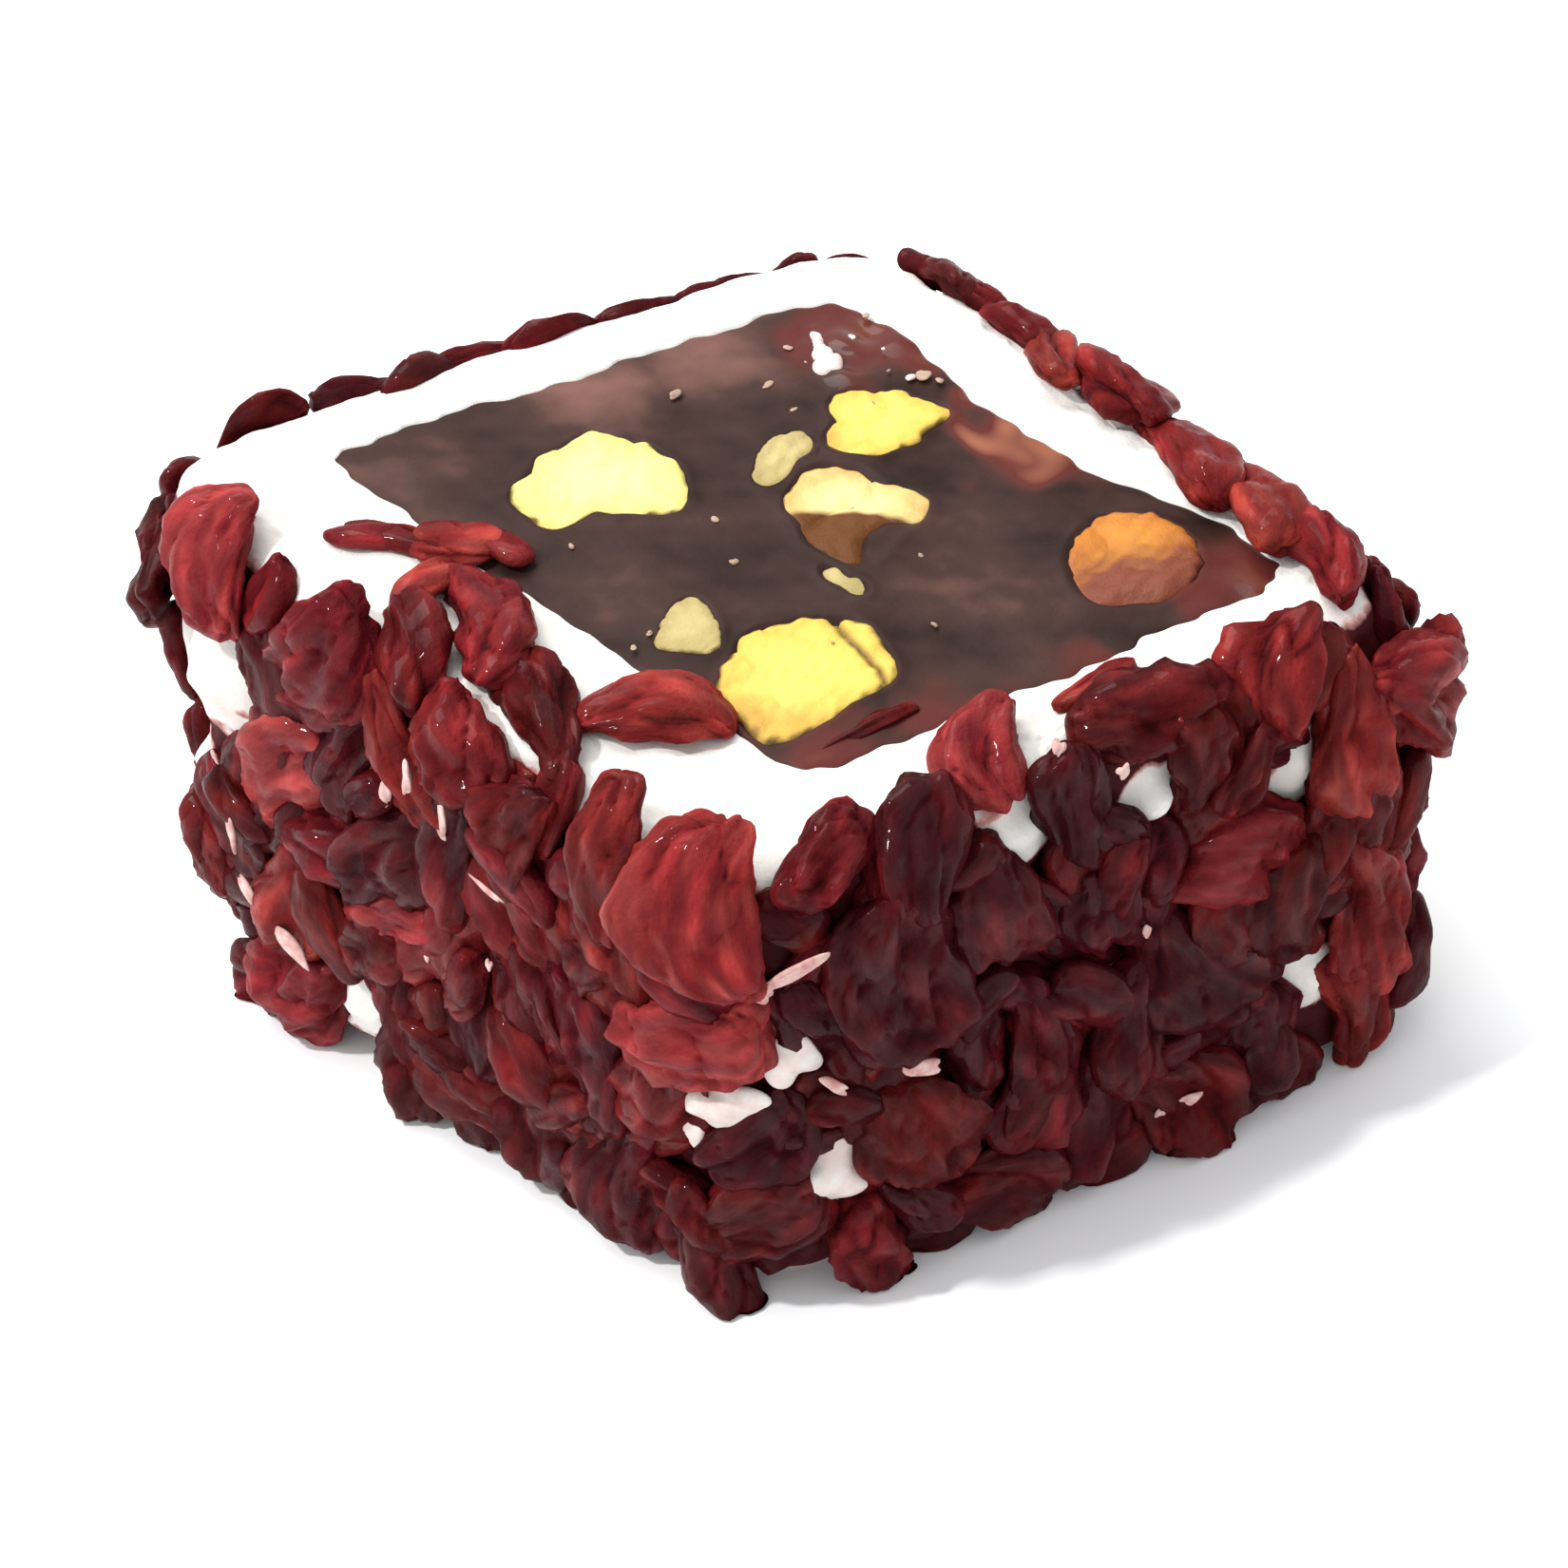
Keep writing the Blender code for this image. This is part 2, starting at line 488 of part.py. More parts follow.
def kernel_mesh(kernel, grow, on_top):
    """Uneven pistachio piece as a bmesh, in mm, at its place, straight-sided across the face."""
    draw = random.Random(kernel.seed)
    phases = [draw.uniform(0, 2 * math.pi) for _ in range(3)]
    mesh_tools = bmesh.new()
    bmesh.ops.create_uvsphere(mesh_tools, u_segments=KERNEL_SIDES[0], v_segments=KERNEL_SIDES[1],
                              radius=1.0)
    for vertex in mesh_tools.verts:
        x, y, z = vertex.co
        around = math.atan2(y, x)
        uneven = 1 + sum(depth * math.sin(waves * around + phase)
                         for (waves, depth), phase in zip(KERNEL_WAVES, phases))
        uneven += KERNEL_LAYERS[1] * math.sin(KERNEL_LAYERS[0] * z + phases[2])
        height = z * (kernel.depth + grow) + (KERNEL_STRAIGHT if z > KERNEL_EQUATOR else 0.0)
        vertex.co = (x * uneven * (kernel.length / 2 + grow), y * uneven * (kernel.width / 2 + grow),
                     height if on_top else -height)
    bmesh.ops.rotate(mesh_tools, matrix=Matrix.Rotation(math.radians(kernel.spin), 3, "Z"),
                     verts=mesh_tools.verts)
    bmesh.ops.translate(mesh_tools, vec=(kernel.x, kernel.y, face_height(kernel, on_top)),
                        verts=mesh_tools.verts)
    return mesh_tools


def build_kernel(kernel, on_top, material):
    """Half of a pistachio piece, cut flat where it shows at the cut face."""
    mesh_tools = kernel_mesh(kernel, 0.0, on_top)
    face_point = Vector((kernel.x, kernel.y, face_height(kernel, on_top)))
    outward = Vector((-TOP_RISE_X, -TOP_RISE_Y, 1)).normalized() if on_top else Vector((0, 0, -1))
    everything = mesh_tools.verts[:] + mesh_tools.edges[:] + mesh_tools.faces[:]
    cut = bmesh.ops.bisect_plane(mesh_tools, geom=everything, plane_co=face_point,
                                 plane_no=outward, clear_outer=True)
    rim = [part for part in cut["geom_cut"] if isinstance(part, bmesh.types.BMEdge)]
    bmesh.ops.triangle_fill(mesh_tools, edges=rim, use_beauty=True)
    bmesh.ops.triangulate(mesh_tools, faces=mesh_tools.faces)
    return link_mesh(kernel.name, mesh_tools, material)


def build_pocket(kernel, on_top):
    """Cutter for the hollow that a pistachio piece sits in, wider than it by the gap."""
    mesh_tools = kernel_mesh(kernel, NODE_GAP, on_top)
    bmesh.ops.triangulate(mesh_tools, faces=mesh_tools.faces)
    return link_mesh(kernel.name + "_pocket", mesh_tools)


def give_material(item, material):
    """Use one material for the whole object and shade it smooth."""
    item.data.materials.clear()
    item.data.materials.append(material)
    for face in item.data.polygons:
        face.material_index = 0
        face.use_smooth = True


def centre_on_floor(items):
    """Move all pieces so that the middle of their common box stands over the origin."""
    corners = [vertex.co for item in items for vertex in item.data.vertices]
    low = Vector((min(corner[axis] for corner in corners) for axis in range(3)))
    high = Vector((max(corner[axis] for corner in corners) for axis in range(3)))
    middle = (low + high) / 2
    shift = Matrix.Translation((-middle.x, -middle.y, -low.z))
    for item in items:
        item.data.transform(shift)
    print("shift in mm:", [round(value / MM, 3) for value in shift.translation],
          "size in mm:", [round(value / MM, 2) for value in high - low])


def main():
    """Build every node and set the slice over the origin."""
    clear_scene()
    jelly_material = make_material("dark_jelly", JELLY_COLOUR, JELLY_ROUGHNESS)
    coat_material = make_material("berry_coat", BERRY_COLOUR, BERRY_ROUGHNESS)
    kernel_material = make_material("pistachio_kernel", KERNEL_COLOUR, KERNEL_ROUGHNESS)

    jelly = build_jelly_block()
    jelly_tree = BVHTree.FromObject(jelly, bpy.context.evaluated_depsgraph_get())

    wrap = build_nougat_ring()
    berries = [build_berry(index, berry, jelly_tree)
               for index, berry in enumerate(choose_berries())]
    print("berries:", len(berries))
    apply_boolean(wrap, berries, "UNION", "MANIFOLD")
    keep_largest_shell(wrap)

    pockets = [build_pocket(kernel, True) for kernel in TOP_KERNELS]
    pockets += [build_pocket(kernel, False) for kernel in BOTTOM_KERNELS]
    apply_boolean(jelly, pockets, "DIFFERENCE", "EXACT")
    merge_slivers(jelly)

    kernels = [build_kernel(kernel, True, kernel_material) for kernel in TOP_KERNELS]
    kernels += [build_kernel(kernel, False, kernel_material) for kernel in BOTTOM_KERNELS]

    give_material(wrap, coat_material)
    give_material(jelly, jelly_material)
    centre_on_floor([wrap, jelly] + kernels)


main()
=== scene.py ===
"""Slice of rolled turkish delight: jelly with pistachios, white nougat and a coat of barberries.

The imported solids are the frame. Every piece here is a surface worked out with numpy over the same
named forms as the solids, in metres, with +Z up and the slice resting on z = 0.
"""
from __future__ import annotations

import logging
import math
import random
from collections.abc import Iterator, Sequence
from dataclasses import dataclass, replace
from enum import Enum
from typing import Any

import bpy
import numpy as np
from mathutils import Matrix, Vector


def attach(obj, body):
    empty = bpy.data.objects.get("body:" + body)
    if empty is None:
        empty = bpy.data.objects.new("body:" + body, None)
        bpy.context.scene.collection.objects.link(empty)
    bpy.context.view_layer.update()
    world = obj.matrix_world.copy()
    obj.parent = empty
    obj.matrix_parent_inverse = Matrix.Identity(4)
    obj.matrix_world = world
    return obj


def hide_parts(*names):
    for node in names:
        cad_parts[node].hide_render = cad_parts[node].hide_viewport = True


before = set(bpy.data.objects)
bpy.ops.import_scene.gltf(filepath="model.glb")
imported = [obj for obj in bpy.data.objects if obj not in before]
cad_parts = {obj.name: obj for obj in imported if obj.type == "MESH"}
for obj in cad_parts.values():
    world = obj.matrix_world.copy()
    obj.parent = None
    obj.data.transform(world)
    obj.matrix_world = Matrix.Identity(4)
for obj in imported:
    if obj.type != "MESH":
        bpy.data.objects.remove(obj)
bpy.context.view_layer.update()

LOG = logging.getLogger("turkish_delight")
MM = 0.001
ROOT_BODY = "root"
GOLDEN_SHARE = 0.618034
FAR = 9.0

Array = np.ndarray
Piece = bpy.types.Object
Range = tuple[float, float]
Triple = tuple[float, float, float]
Colour = Triple
Corners = tuple[Range, ...]
Spot = tuple[float, float, float, float]
Stops = tuple[tuple[float, Colour], ...]
Socket = bpy.types.NodeSocket


class BerryKind(Enum):
    """Kinds of dried barberry by how red they are; one piece is made of each."""

    DARK = "barberries_dark"
    RED = "barberries_red"
    BRIGHT = "barberries_bright"
    BROKEN = "barberries_broken"
    SMALL = "barberries_small"


class KernelTone(Enum):
    """How a cut pistachio looks: bare, greenish, part under jelly, or wholly under a film of it."""

    PALE = "pistachio_pale"
    YELLOW = "pistachio_yellow"
    GREENISH = "pistachio_greenish"
    AMBER = "pistachio_amber"
    ORANGE = "pistachio_orange"


@dataclass(frozen=True)
class Ripple:
    """Smooth uneven field in space: a mean of sine waves in random directions."""

    seed: int
    wavelength: float
    waves: int = 10

    def at(self, points: Array) -> Array:
        """Scaled sum of sin(direction . point * 2 pi / wavelength + phase), roughly -1 to 1.

        Args:
            points: Array whose last axis is X, Y, Z.

        Returns:
            Array without the last axis.
        """
        draw = np.random.default_rng(self.seed)
        directions = draw.normal(size=(3, self.waves))
        directions /= np.linalg.norm(directions, axis=0)
        directions *= draw.uniform(0.7, 1.4, self.waves) * 2 * np.pi / self.wavelength
        phases = draw.uniform(0, 2 * np.pi, self.waves)
        total = np.zeros(points.shape[:-1])
        for direction, phase in zip(directions.T, phases):
            total += np.sin(points @ direction + phase)
        return total / math.sqrt(self.waves / 2) * 0.6


def raised(spot: Array, height: Array | float = 0.0) -> Array:
    """Points of X, Y, Z from points of X, Y and their heights."""
    return np.concatenate([spot, np.broadcast_to(height, spot.shape[:-1])[..., None]], axis=-1)


@dataclass(frozen=True)
class SliceForm:
    """Form of the slice, as in the solids: four corners below and above, in mm.

    A place on the wall has a turn, as a share of one turn from the middle of the right side, and
    a level, from 0 on the floor to 1 at the cut face, and more over the rim.
    """

    nougat_base: Corners = ((-16.8, -23.6), (18.2, -16.8), (23.0, 17.0), (-14.6, 15.8))
    nougat_top: Corners = ((-24.2, -21.2), (18.4, -15.4), (20.6, 21.4), (-16.4, 16.2))
    jelly_base: Corners = ((-13.4, -16.6), (13.2, -11.8), (17.6, 12.6), (-11.0, 11.6))
    jelly_top: Corners = ((-18.6, -13.9), (13.7, -7.8), (16.3, 17.6), (-13.0, 12.4))
    nougat_squareness: float = 9.0
    jelly_squareness: float = 14.0
    jelly_dent: Triple = (0.11, 0.265, 0.065)
    jelly_waves: tuple[Triple, ...] = ((0.16, 7, 1.3), (0.14, 13, 0.4), (0.12, 29, 2.1), (0.08, 61, 0.0))
    top_plane: Triple = (24.7, -0.0486, -0.0209)
    side_bulge: float = 0.02
    round_over: float = 1.6
    half_width: float = 18.0
    lean_from: float = 0.92
    lean_span: float = 0.12
    normal_step: float = 0.004
    normal_levels: Range = (0.08, 0.92)
    shift: Range = (0.203, 1.121)

    def top_height(self, spot: Array) -> Array:
        """Height of the leaning cut face over a point: constant plus slopes times X and Y."""
        return self.top_plane[0] + self.top_plane[1] * spot[..., 0] + self.top_plane[2] * spot[..., 1]

    def square(self, turn: Array, squareness: float) -> tuple[Array, Array]:
        """Point of a rounded square of half side 1, at distance (|cos|^n + |sin|^n)^(-1/n).

        Args:
            turn: Share of one turn; the direction runs evenly along each side.
            squareness: The power n.

        Returns:
            The two square coordinates.
        """
        quarter = np.round(4 * turn)
        angle = np.pi / 2 * quarter + np.arctan(2 * (4 * turn - quarter))
        across, along = np.cos(angle), np.sin(angle)
        reach = (np.abs(across) ** squareness + np.abs(along) ** squareness) ** (-1 / squareness)
        return reach * across, reach * along

    def column(self, base: Corners, top: Corners, turn: Array, level: Array,
               scale: Array, squareness: float) -> Array:
        """Outline at a level: the lower outline changed evenly into the upper one.

        Square coordinates are stretched over four corners by the usual bilinear weights.

        Args:
            base: Left front, right front, right back and left back corner on the floor.
            top: The same at the cut face.
            turn: Share of one turn.
            level: Level of the outline.
            scale: Size of the outline.
            squareness: The power of its rounded square.

        Returns:
            Points of X, Y, in mm.
        """
        a, b = (side * scale for side in self.square(turn, squareness))
        weights = ((1 - a) * (1 - b), (1 + a) * (1 - b), (1 + a) * (1 + b), (1 - a) * (1 + b))
        lower, upper = (sum(weight[..., None] * np.array(corner)
                            for weight, corner in zip(weights, corners)) / 4
                        for corners in (base, top))
        return lower + (upper - lower) * level[..., None]

    def wall(self, turn: Array | float, level: Array | float) -> Array:
        """Nougat's outer wall, swollen at half height, rounded at both edges, and flat past level 1.

        Args:
            turn: Share of one turn.
            level: Level on the wall.

        Returns:
            Points in mm.
        """
        turn, level = np.broadcast_arrays(np.asarray(turn, float), np.asarray(level, float))
        over_rim = np.maximum(level - 1, 0) * self.top_plane[0] / self.half_width
        level = np.minimum(level, 1.0)
        reach = self.round_over / self.top_plane[0]
        into_edge = np.clip(np.maximum(1 - level / reach, 1 - (1 - level) / reach), 0, 1)
        inset = (1 - np.sqrt(1 - into_edge ** 2)) * self.round_over / self.half_width
        scale = 1 + self.side_bulge * np.sin(np.pi * level) - inset - over_rim
        spot = self.column(self.nougat_base, self.nougat_top, turn, level, scale, self.nougat_squareness)
        return raised(spot, level * self.top_height(spot))

    def wall_normal(self, turn: Array, level: Array) -> Array:
        """Outward direction of the wall: the cross product of its two slopes.

        Args:
            turn: Share of one turn.
            level: Level on the wall.

        Returns:
            Unit vectors.
        """
        step = self.normal_step
        level = np.clip(level, *self.normal_levels)
        around = self.wall(turn + step, level) - self.wall(turn - step, level)
        upward = self.wall(turn, level + step) - self.wall(turn, level - step)
        normal = np.cross(around, upward)
        return normal / np.linalg.norm(normal, axis=-1, keepdims=True)

    def laid(self, turn: Array, level: Array, spin: Array, lift: Array) -> tuple[Array, Array]:
        """Middles and axes of bits that lie on the wall and lean inwards on the way over the rim.

        Args:
            turn: Share of one turn of each.
            level: Level of each.
            spin: Lean of its length from upright, in degrees.
            lift: Height of its middle over the wall, in mm.

        Returns:
            Middles in mm, and matrices whose rows are its axes of width, outward and length.
        """
        outward = self.wall_normal(turn, level)
        upright = np.array([0.0, 0.0, 1.0]) - outward * outward[..., 2:]
        upright /= np.linalg.norm(upright, axis=-1, keepdims=True)
        lean = np.pi / 2 * np.clip((level - self.lean_from) / self.lean_span, 0, 1)[..., None]
        outward, upright = (outward * np.cos(lean) + upright * np.sin(lean),
                            upright * np.cos(lean) - outward * np.sin(lean))
        spin = np.radians(spin)[:, None]
        along = upright * np.cos(spin) + np.cross(upright, outward) * np.sin(spin)
        middle = self.wall(turn, level) + outward * lift[:, None]
        return middle, np.stack([np.cross(along, outward), outward, along], axis=1)

    def jelly_edge(self, turn: Array, level: float, scale: Array | float = 1.0) -> Array:
        """Outline of the jelly: dented at the back, and ragged by sets of waves round it.

        Args:
            turn: Share of one turn.
            level: 0 on the floor or 1 at the cut face.
            scale: Size of the outline, 1 at the jelly's edge.

        Returns:
            Points of X, Y, in mm.
        """
        depth, middle, span = self.jelly_dent
        dent = depth * np.exp(-((turn - middle) / span) ** 4)
        spot = self.column(self.jelly_base, self.jelly_top, turn, level * np.ones_like(turn),
                           scale * (1 - dent), self.jelly_squareness)
        angle = 2 * np.pi * turn
        ragged = sum(height * np.sin(waves * angle + phase) for height, waves, phase in self.jelly_waves)
        return spot * (1 + ragged / self.half_width * np.asarray(scale) ** 4)[..., None]

    def placed(self, points: Array) -> Array:
        """Move points in mm to their place in the frame, in metres."""
        return (points + np.array([*self.shift, 0.0])) * MM


def grid_faces(rows: int, columns: int, close_rows: bool) -> Array:
    """Quads of a grid of vertices whose columns always close on themselves.

    Args:
        rows: Number of rings.
        columns: Vertices of one ring.
        close_rows: Whether the last ring joins the first.

    Returns:
        Array of vertex numbers, four a face.
    """
    row = np.arange(rows if close_rows else rows - 1)[:, None] * columns
    after_row = (row + columns) % (rows * columns)
    column = np.arange(columns)[None, :]
    after = (column + 1) % columns
    return np.stack([row + column, row + after, after_row + after, after_row + column],
                    axis=-1).reshape(-1, 4)


def linked(name: str, data: bpy.types.ID) -> Piece:
    """Object that holds the data, linked to the scene.

    Args:
        name: Name of the object.
        data: Mesh, light or camera.

    Returns:
        The object.
    """
    made = bpy.data.objects.new(name, data)
    bpy.context.scene.collection.objects.link(made)
    return made


def make_piece(name: str, vertices: Array, quads: Array, triangles: Array,
               paint: Array | None = None, skin: Array | None = None) -> Piece:
    """Make one smooth mesh object at the origin.

    Args:
        name: Name of the piece.
        vertices: Points in metres, in the frame.
        quads: Faces of four vertices.
        triangles: Faces of three vertices.
        paint: Optional colour attribute "paint", three numbers a vertex.
        skin: Optional vector attribute "skin", the place on the skin that patterns follow.

    Returns:
        The object, linked to the scene.
    """
    mesh = bpy.data.meshes.new(name)
    mesh.vertices.add(len(vertices))
    mesh.vertices.foreach_set("co", vertices.astype(np.float32).ravel())
    corners = np.concatenate([quads.ravel(), triangles.ravel()]).astype(np.int32)
    starts = np.concatenate([np.arange(len(quads)) * 4,
                             len(quads) * 4 + np.arange(len(triangles)) * 3]).astype(np.int32)
    mesh.loops.add(len(corners))
    mesh.loops.foreach_set("vertex_index", corners)
    mesh.polygons.add(len(starts))
    mesh.polygons.foreach_set("loop_start", starts)
    mesh.polygons.foreach_set("use_smooth", np.ones(len(starts), dtype=bool))
    mesh.update(calc_edges=True)
    mesh.validate()
    if paint is not None:
        colours = np.column_stack([paint, np.ones(len(paint))]).astype(np.float32)
        attribute = mesh.attributes.new("paint", "FLOAT_COLOR", "POINT")
        attribute.data.foreach_set("color", colours.ravel())
    if skin is not None:
        attribute = mesh.attributes.new("skin", "FLOAT_VECTOR", "POINT")
        attribute.data.foreach_set("vector", skin.astype(np.float32).ravel())
    return linked(name, mesh)


def capped(rows: Array, paint: Array) -> tuple[Array, Array]:
    """One shape closed by the mean point of its first and of its last ring.

    Args:
        rows: Points on rings and columns.
        paint: Paint of the same shape.

    Returns:
        Both with an axis of shapes before them and a ring more at each end.
    """
    lower, upper = (np.tile(rows[end].mean(axis=0), (1, rows.shape[1], 1)) for end in (0, -1))
    return (np.concatenate([lower, rows, upper])[None],
            np.concatenate([paint[:1], paint, paint[-1:]])[None])


def closed_piece(name: str, form: SliceForm, flip: bool, points: Array, *values: Array) -> Piece:
    """Make one piece of closed shapes, whose first and last rings shrink to a single vertex.

    Args:
        name: Name of the piece.
        form: Form of the slice.
        flip: Whether the faces are turned over.
        points: Points in mm, with axes of shape, ring, column and X, Y, Z.
        *values: Paint and places on the skin, of the same shape.

    Returns:
        The piece.
    """
    count, rows, columns = points.shape[:3]
    vertices, *values = (
        np.concatenate([value[:, 1:-1].reshape(count, -1, 3), value[:, 0, :1], value[:, -1, :1]],
                       axis=1).reshape(-1, 3) for value in (points, *values))
    pole = (rows - 2) * columns
    ring = np.stack([np.arange(columns), (np.arange(columns) + 1) % columns], axis=-1)
    triangles = np.concatenate([
        np.column_stack([ring[:, ::-1], np.full(columns, pole)]),
        np.column_stack([ring + pole - columns, np.full(columns, pole + 1)])])
    step = (np.arange(count) * (pole + 2))[:, None, None]
    order = slice(None, None, -1 if flip else 1)
    faces = ((shape + step).reshape(-1, shape.shape[1])[:, order]
             for shape in (grid_faces(rows - 2, columns, False), triangles))
    return make_piece(name, form.placed(vertices), *faces, *values)


class Wiring:
    """Adds and joins the nodes of one node tree."""

    def __init__(self, tree: bpy.types.NodeTree) -> None:
        """Keep the tree."""
        self.tree = tree

    def join(self, socket: Socket, value: Any) -> None:
        """Join another socket to this one, or else set its value.

        Args:
            socket: Input to join or set.
            value: Output socket or plain value.
        """
        if isinstance(value, Socket):
            self.tree.links.new(value, socket)
        else:
            socket.default_value = value

    def add(self, kind: str, inputs: dict[str | int, Any] | None = None, **settings: Any
            ) -> bpy.types.Node:
        """Add one node.

        Args:
            kind: Node type, such as ShaderNodeTexNoise.
            inputs: Values or sockets for the node's inputs, by name or number.
            **settings: The node's own properties.

        Returns:
            The new node.
        """
        node = self.tree.nodes.new(kind)
        for name, value in settings.items():
            setattr(node, name, value)
        for name, value in (inputs or {}).items():
            self.join(node.inputs[name], value)
        return node

    def noise(self, vector: Socket, scale: Any, detail: float, roughness: float, **settings: Any
              ) -> Socket:
        """Noise over a vector.

        Args:
            vector: Where it is read.
            scale: Repeats a metre, or a socket with them.
            detail: Octaves.
            roughness: How strong the fine octaves are.
            **settings: The node's own properties.

        Returns:
            The factor socket.
        """
        return self.add("ShaderNodeTexNoise", {"Vector": vector, "Scale": scale, "Detail": detail,
                                               "Roughness": roughness}, **settings).outputs["Fac"]

    def ramp(self, factor: Socket, stops: Stops) -> Socket:
        """Colour ramp.

        Args:
            factor: Socket that drives the ramp.
            stops: Positions with their colours.

        Returns:
            The colour socket.
        """
        node = self.add("ShaderNodeValToRGB", {"Fac": factor})
        elements = node.color_ramp.elements
        while len(elements) < len(stops):
            elements.new(0.5)
        for element, (position, colour) in zip(elements, stops):
            element.position = position
            element.color = (*colour, 1.0)
        return node.outputs["Color"]

    def spread(self, value: Socket, low: float, high: float, to_low: float = 0.0,
               to_high: float = 1.0) -> Socket:
        """Clamped change of range: low becomes to_low, and high becomes to_high."""
        return self.add("ShaderNodeMapRange", {"Value": value, "From Min": low, "From Max": high,
                                               "To Min": to_low, "To Max": to_high}).outputs["Result"]

    def blend(self, factor: Any, first: Any, second: Any, mode: str = "MIX") -> Socket:
        """Mix two colours or sockets, with the factor as share of the second."""
        sides = (side if isinstance(side, Socket) else (*side, 1.0) for side in (first, second))
        return self.add("ShaderNodeMix", dict(zip((0, 6, 7), (factor, *sides))), data_type="RGBA",
                        blend_type=mode).outputs[2]

    def sum(self, first: Any, second: Any, operation: str = "ADD") -> Socket:
        """One arithmetic step on two numbers or sockets."""
        return self.add("ShaderNodeMath", {0: first, 1: second}, operation=operation).outputs[0]

    def patchy(self, value: Socket, mottle: Socket, amount: float) -> Socket:
        """A value raised and lowered by up to the amount, as the mottling goes."""
        return self.sum(value, self.spread(mottle, 0.0, 1.0, -amount, amount))


def grain_group() -> bpy.types.NodeTree:
    """Shared effect of all finishes: mottling and fine grain, read at object coordinates.

    Returns:
        Group with inputs Coarse and Fine, in repeats a metre, and outputs Mottle and Grain.
    """
    name = "fine_grain"
    if name in bpy.data.node_groups:
        return bpy.data.node_groups[name]
    group = bpy.data.node_groups.new(name, "ShaderNodeTree")
    for label, default in (("Coarse", 300.0), ("Fine", 2500.0)):
        socket = group.interface.new_socket(label, in_out="INPUT", socket_type="NodeSocketFloat")
        socket.default_value = default
    for label in ("Mottle", "Grain"):
        group.interface.new_socket(label, in_out="OUTPUT", socket_type="NodeSocketFloat")
    wiring = Wiring(group)
    entry = wiring.add("NodeGroupInput").outputs
    place = wiring.add("ShaderNodeTexCoord").outputs["Object"]
    coarse = wiring.noise(place, entry["Coarse"], 3.0, 0.6)
    fine = wiring.noise(place, entry["Fine"], 5.0, 0.65)
    wiring.add("NodeGroupOutput", {"Mottle": wiring.spread(coarse, 0.3, 0.7), "Grain": fine})
    return group


class Material(Wiring):
    """A Principled material under construction."""

    def __init__(self, name: str) -> None:
        """Make the material with its one shader.

        Args:
            name: Name of the material.
        """
        self.material = bpy.data.materials.new(name)
        self.material.use_nodes = True
        super().__init__(self.material.node_tree)

    def grain(self, coarse: float, fine: float) -> tuple[Socket, Socket]:
        """Mottle and grain sockets of the shared effect, with repeats a metre of each."""
        node = self.add("ShaderNodeGroup", {"Coarse": coarse, "Fine": fine}, node_tree=grain_group())
        return node.outputs["Mottle"], node.outputs["Grain"]

    def paint(self) -> tuple[Socket, ...]:
        """The three numbers of the mesh's paint attribute."""
        read = self.add("ShaderNodeAttribute", attribute_name="paint")
        return tuple(self.add("ShaderNodeSeparateColor", {"Color": read.outputs["Color"]}).outputs)

    def finished(self, relief: tuple[Socket, float, float] | None, **values: Any) -> bpy.types.Material:
        """Set or join the shader's inputs and bump the surface.

        Args:
            relief: Height socket from 0 to 1, its depth in metres and the share that shows.
            **values: Inputs by name, with _ for a space.

        Returns:
            The material.
        """
        inputs = self.tree.nodes["Principled BSDF"].inputs
        for name, value in values.items():
            self.join(inputs[name.replace("_", " ")], value)
        if relief:
            bump = self.add("ShaderNodeBump", dict(zip(("Height", "Distance", "Strength"), relief)))
            self.join(inputs["Normal"], bump.outputs["Normal"])
        return self.material


@dataclass(frozen=True)
class NougatFinish:
    """Whipped white nougat: matt and soft on the cut, stained by the berries on its side, and near-black
    red under them, partly juice stain and partly painted shade between the berries.
    """

    cream: Colour = (0.78, 0.76, 0.72)
    stain: Colour = (0.60, 0.30, 0.28)
    juice_and_shade: Colour = (0.060, 0.006, 0.008)
    repeats: Range = (900.0, 2600.0)
    mottling: float = 0.16
    relief: Range = (0.00014, 0.6)

    def material(self) -> bpy.types.Material:
        """Build the material.

        Returns:
            The material.
        """
        make = Material("white_nougat")
        mottle, grain = make.grain(*self.repeats)
        cover, blush, _ = make.paint()
        # Berry cover runs from cream through the pink stain to near-black red, which is partly juice stain
        # and partly painted shade between the berries.
        colour = make.ramp(make.patchy(cover, mottle, self.mottling),
                           ((0.30, self.cream), (0.46, self.stain), (0.66, self.juice_and_shade)))
        colour = make.blend(blush, colour, self.stain, "MULTIPLY")
        return make.finished(
            (grain, *self.relief), Base_Color=colour, Roughness=0.62, Specular_IOR_Level=0.12,
            Subsurface_Weight=0.12, Subsurface_Scale=0.0012, Subsurface_Radius=(1.0, 0.75, 0.6))


@dataclass(frozen=True)
class JellyFinish:
    """Dark fruit jelly with lighter grey streaks and patches, red and wet at its corners."""

    smears: Stops = ((0.00, (0.016, 0.0066, 0.0046)), (0.40, (0.042, 0.0188, 0.0155)),
                     (1.00, (0.150, 0.0690, 0.0550)))
    warmths: Stops = ((0.00, (0.060, 0.022, 0.017)), (0.50, (0.085, 0.0150, 0.0120)),
                      (1.00, (0.240, 0.085, 0.048)))
    repeats: Range = (700.0, 3200.0)
    mottling: float = 0.07
    relief: Range = (0.00006, 0.4)

    def material(self) -> bpy.types.Material:
        """Build the material.

        Returns:
            The material.
        """
        make = Material("dark_jelly")
        mottle, grain = make.grain(*self.repeats)
        warmth, wet, smear = make.paint()
        colour = make.ramp(make.patchy(smear, mottle, self.mottling), self.smears)
        colour = make.blend(make.spread(warmth, 0.0, 0.35), colour, make.ramp(warmth, self.warmths))
        return make.finished(
            (grain, *self.relief), Base_Color=colour, Roughness=make.spread(wet, 0.0, 1.0, 0.50, 0.30),
            Specular_IOR_Level=0.10, Coat_Weight=make.spread(wet, 0.2, 1.0, 0.0, 0.35),
            Coat_Roughness=0.06)


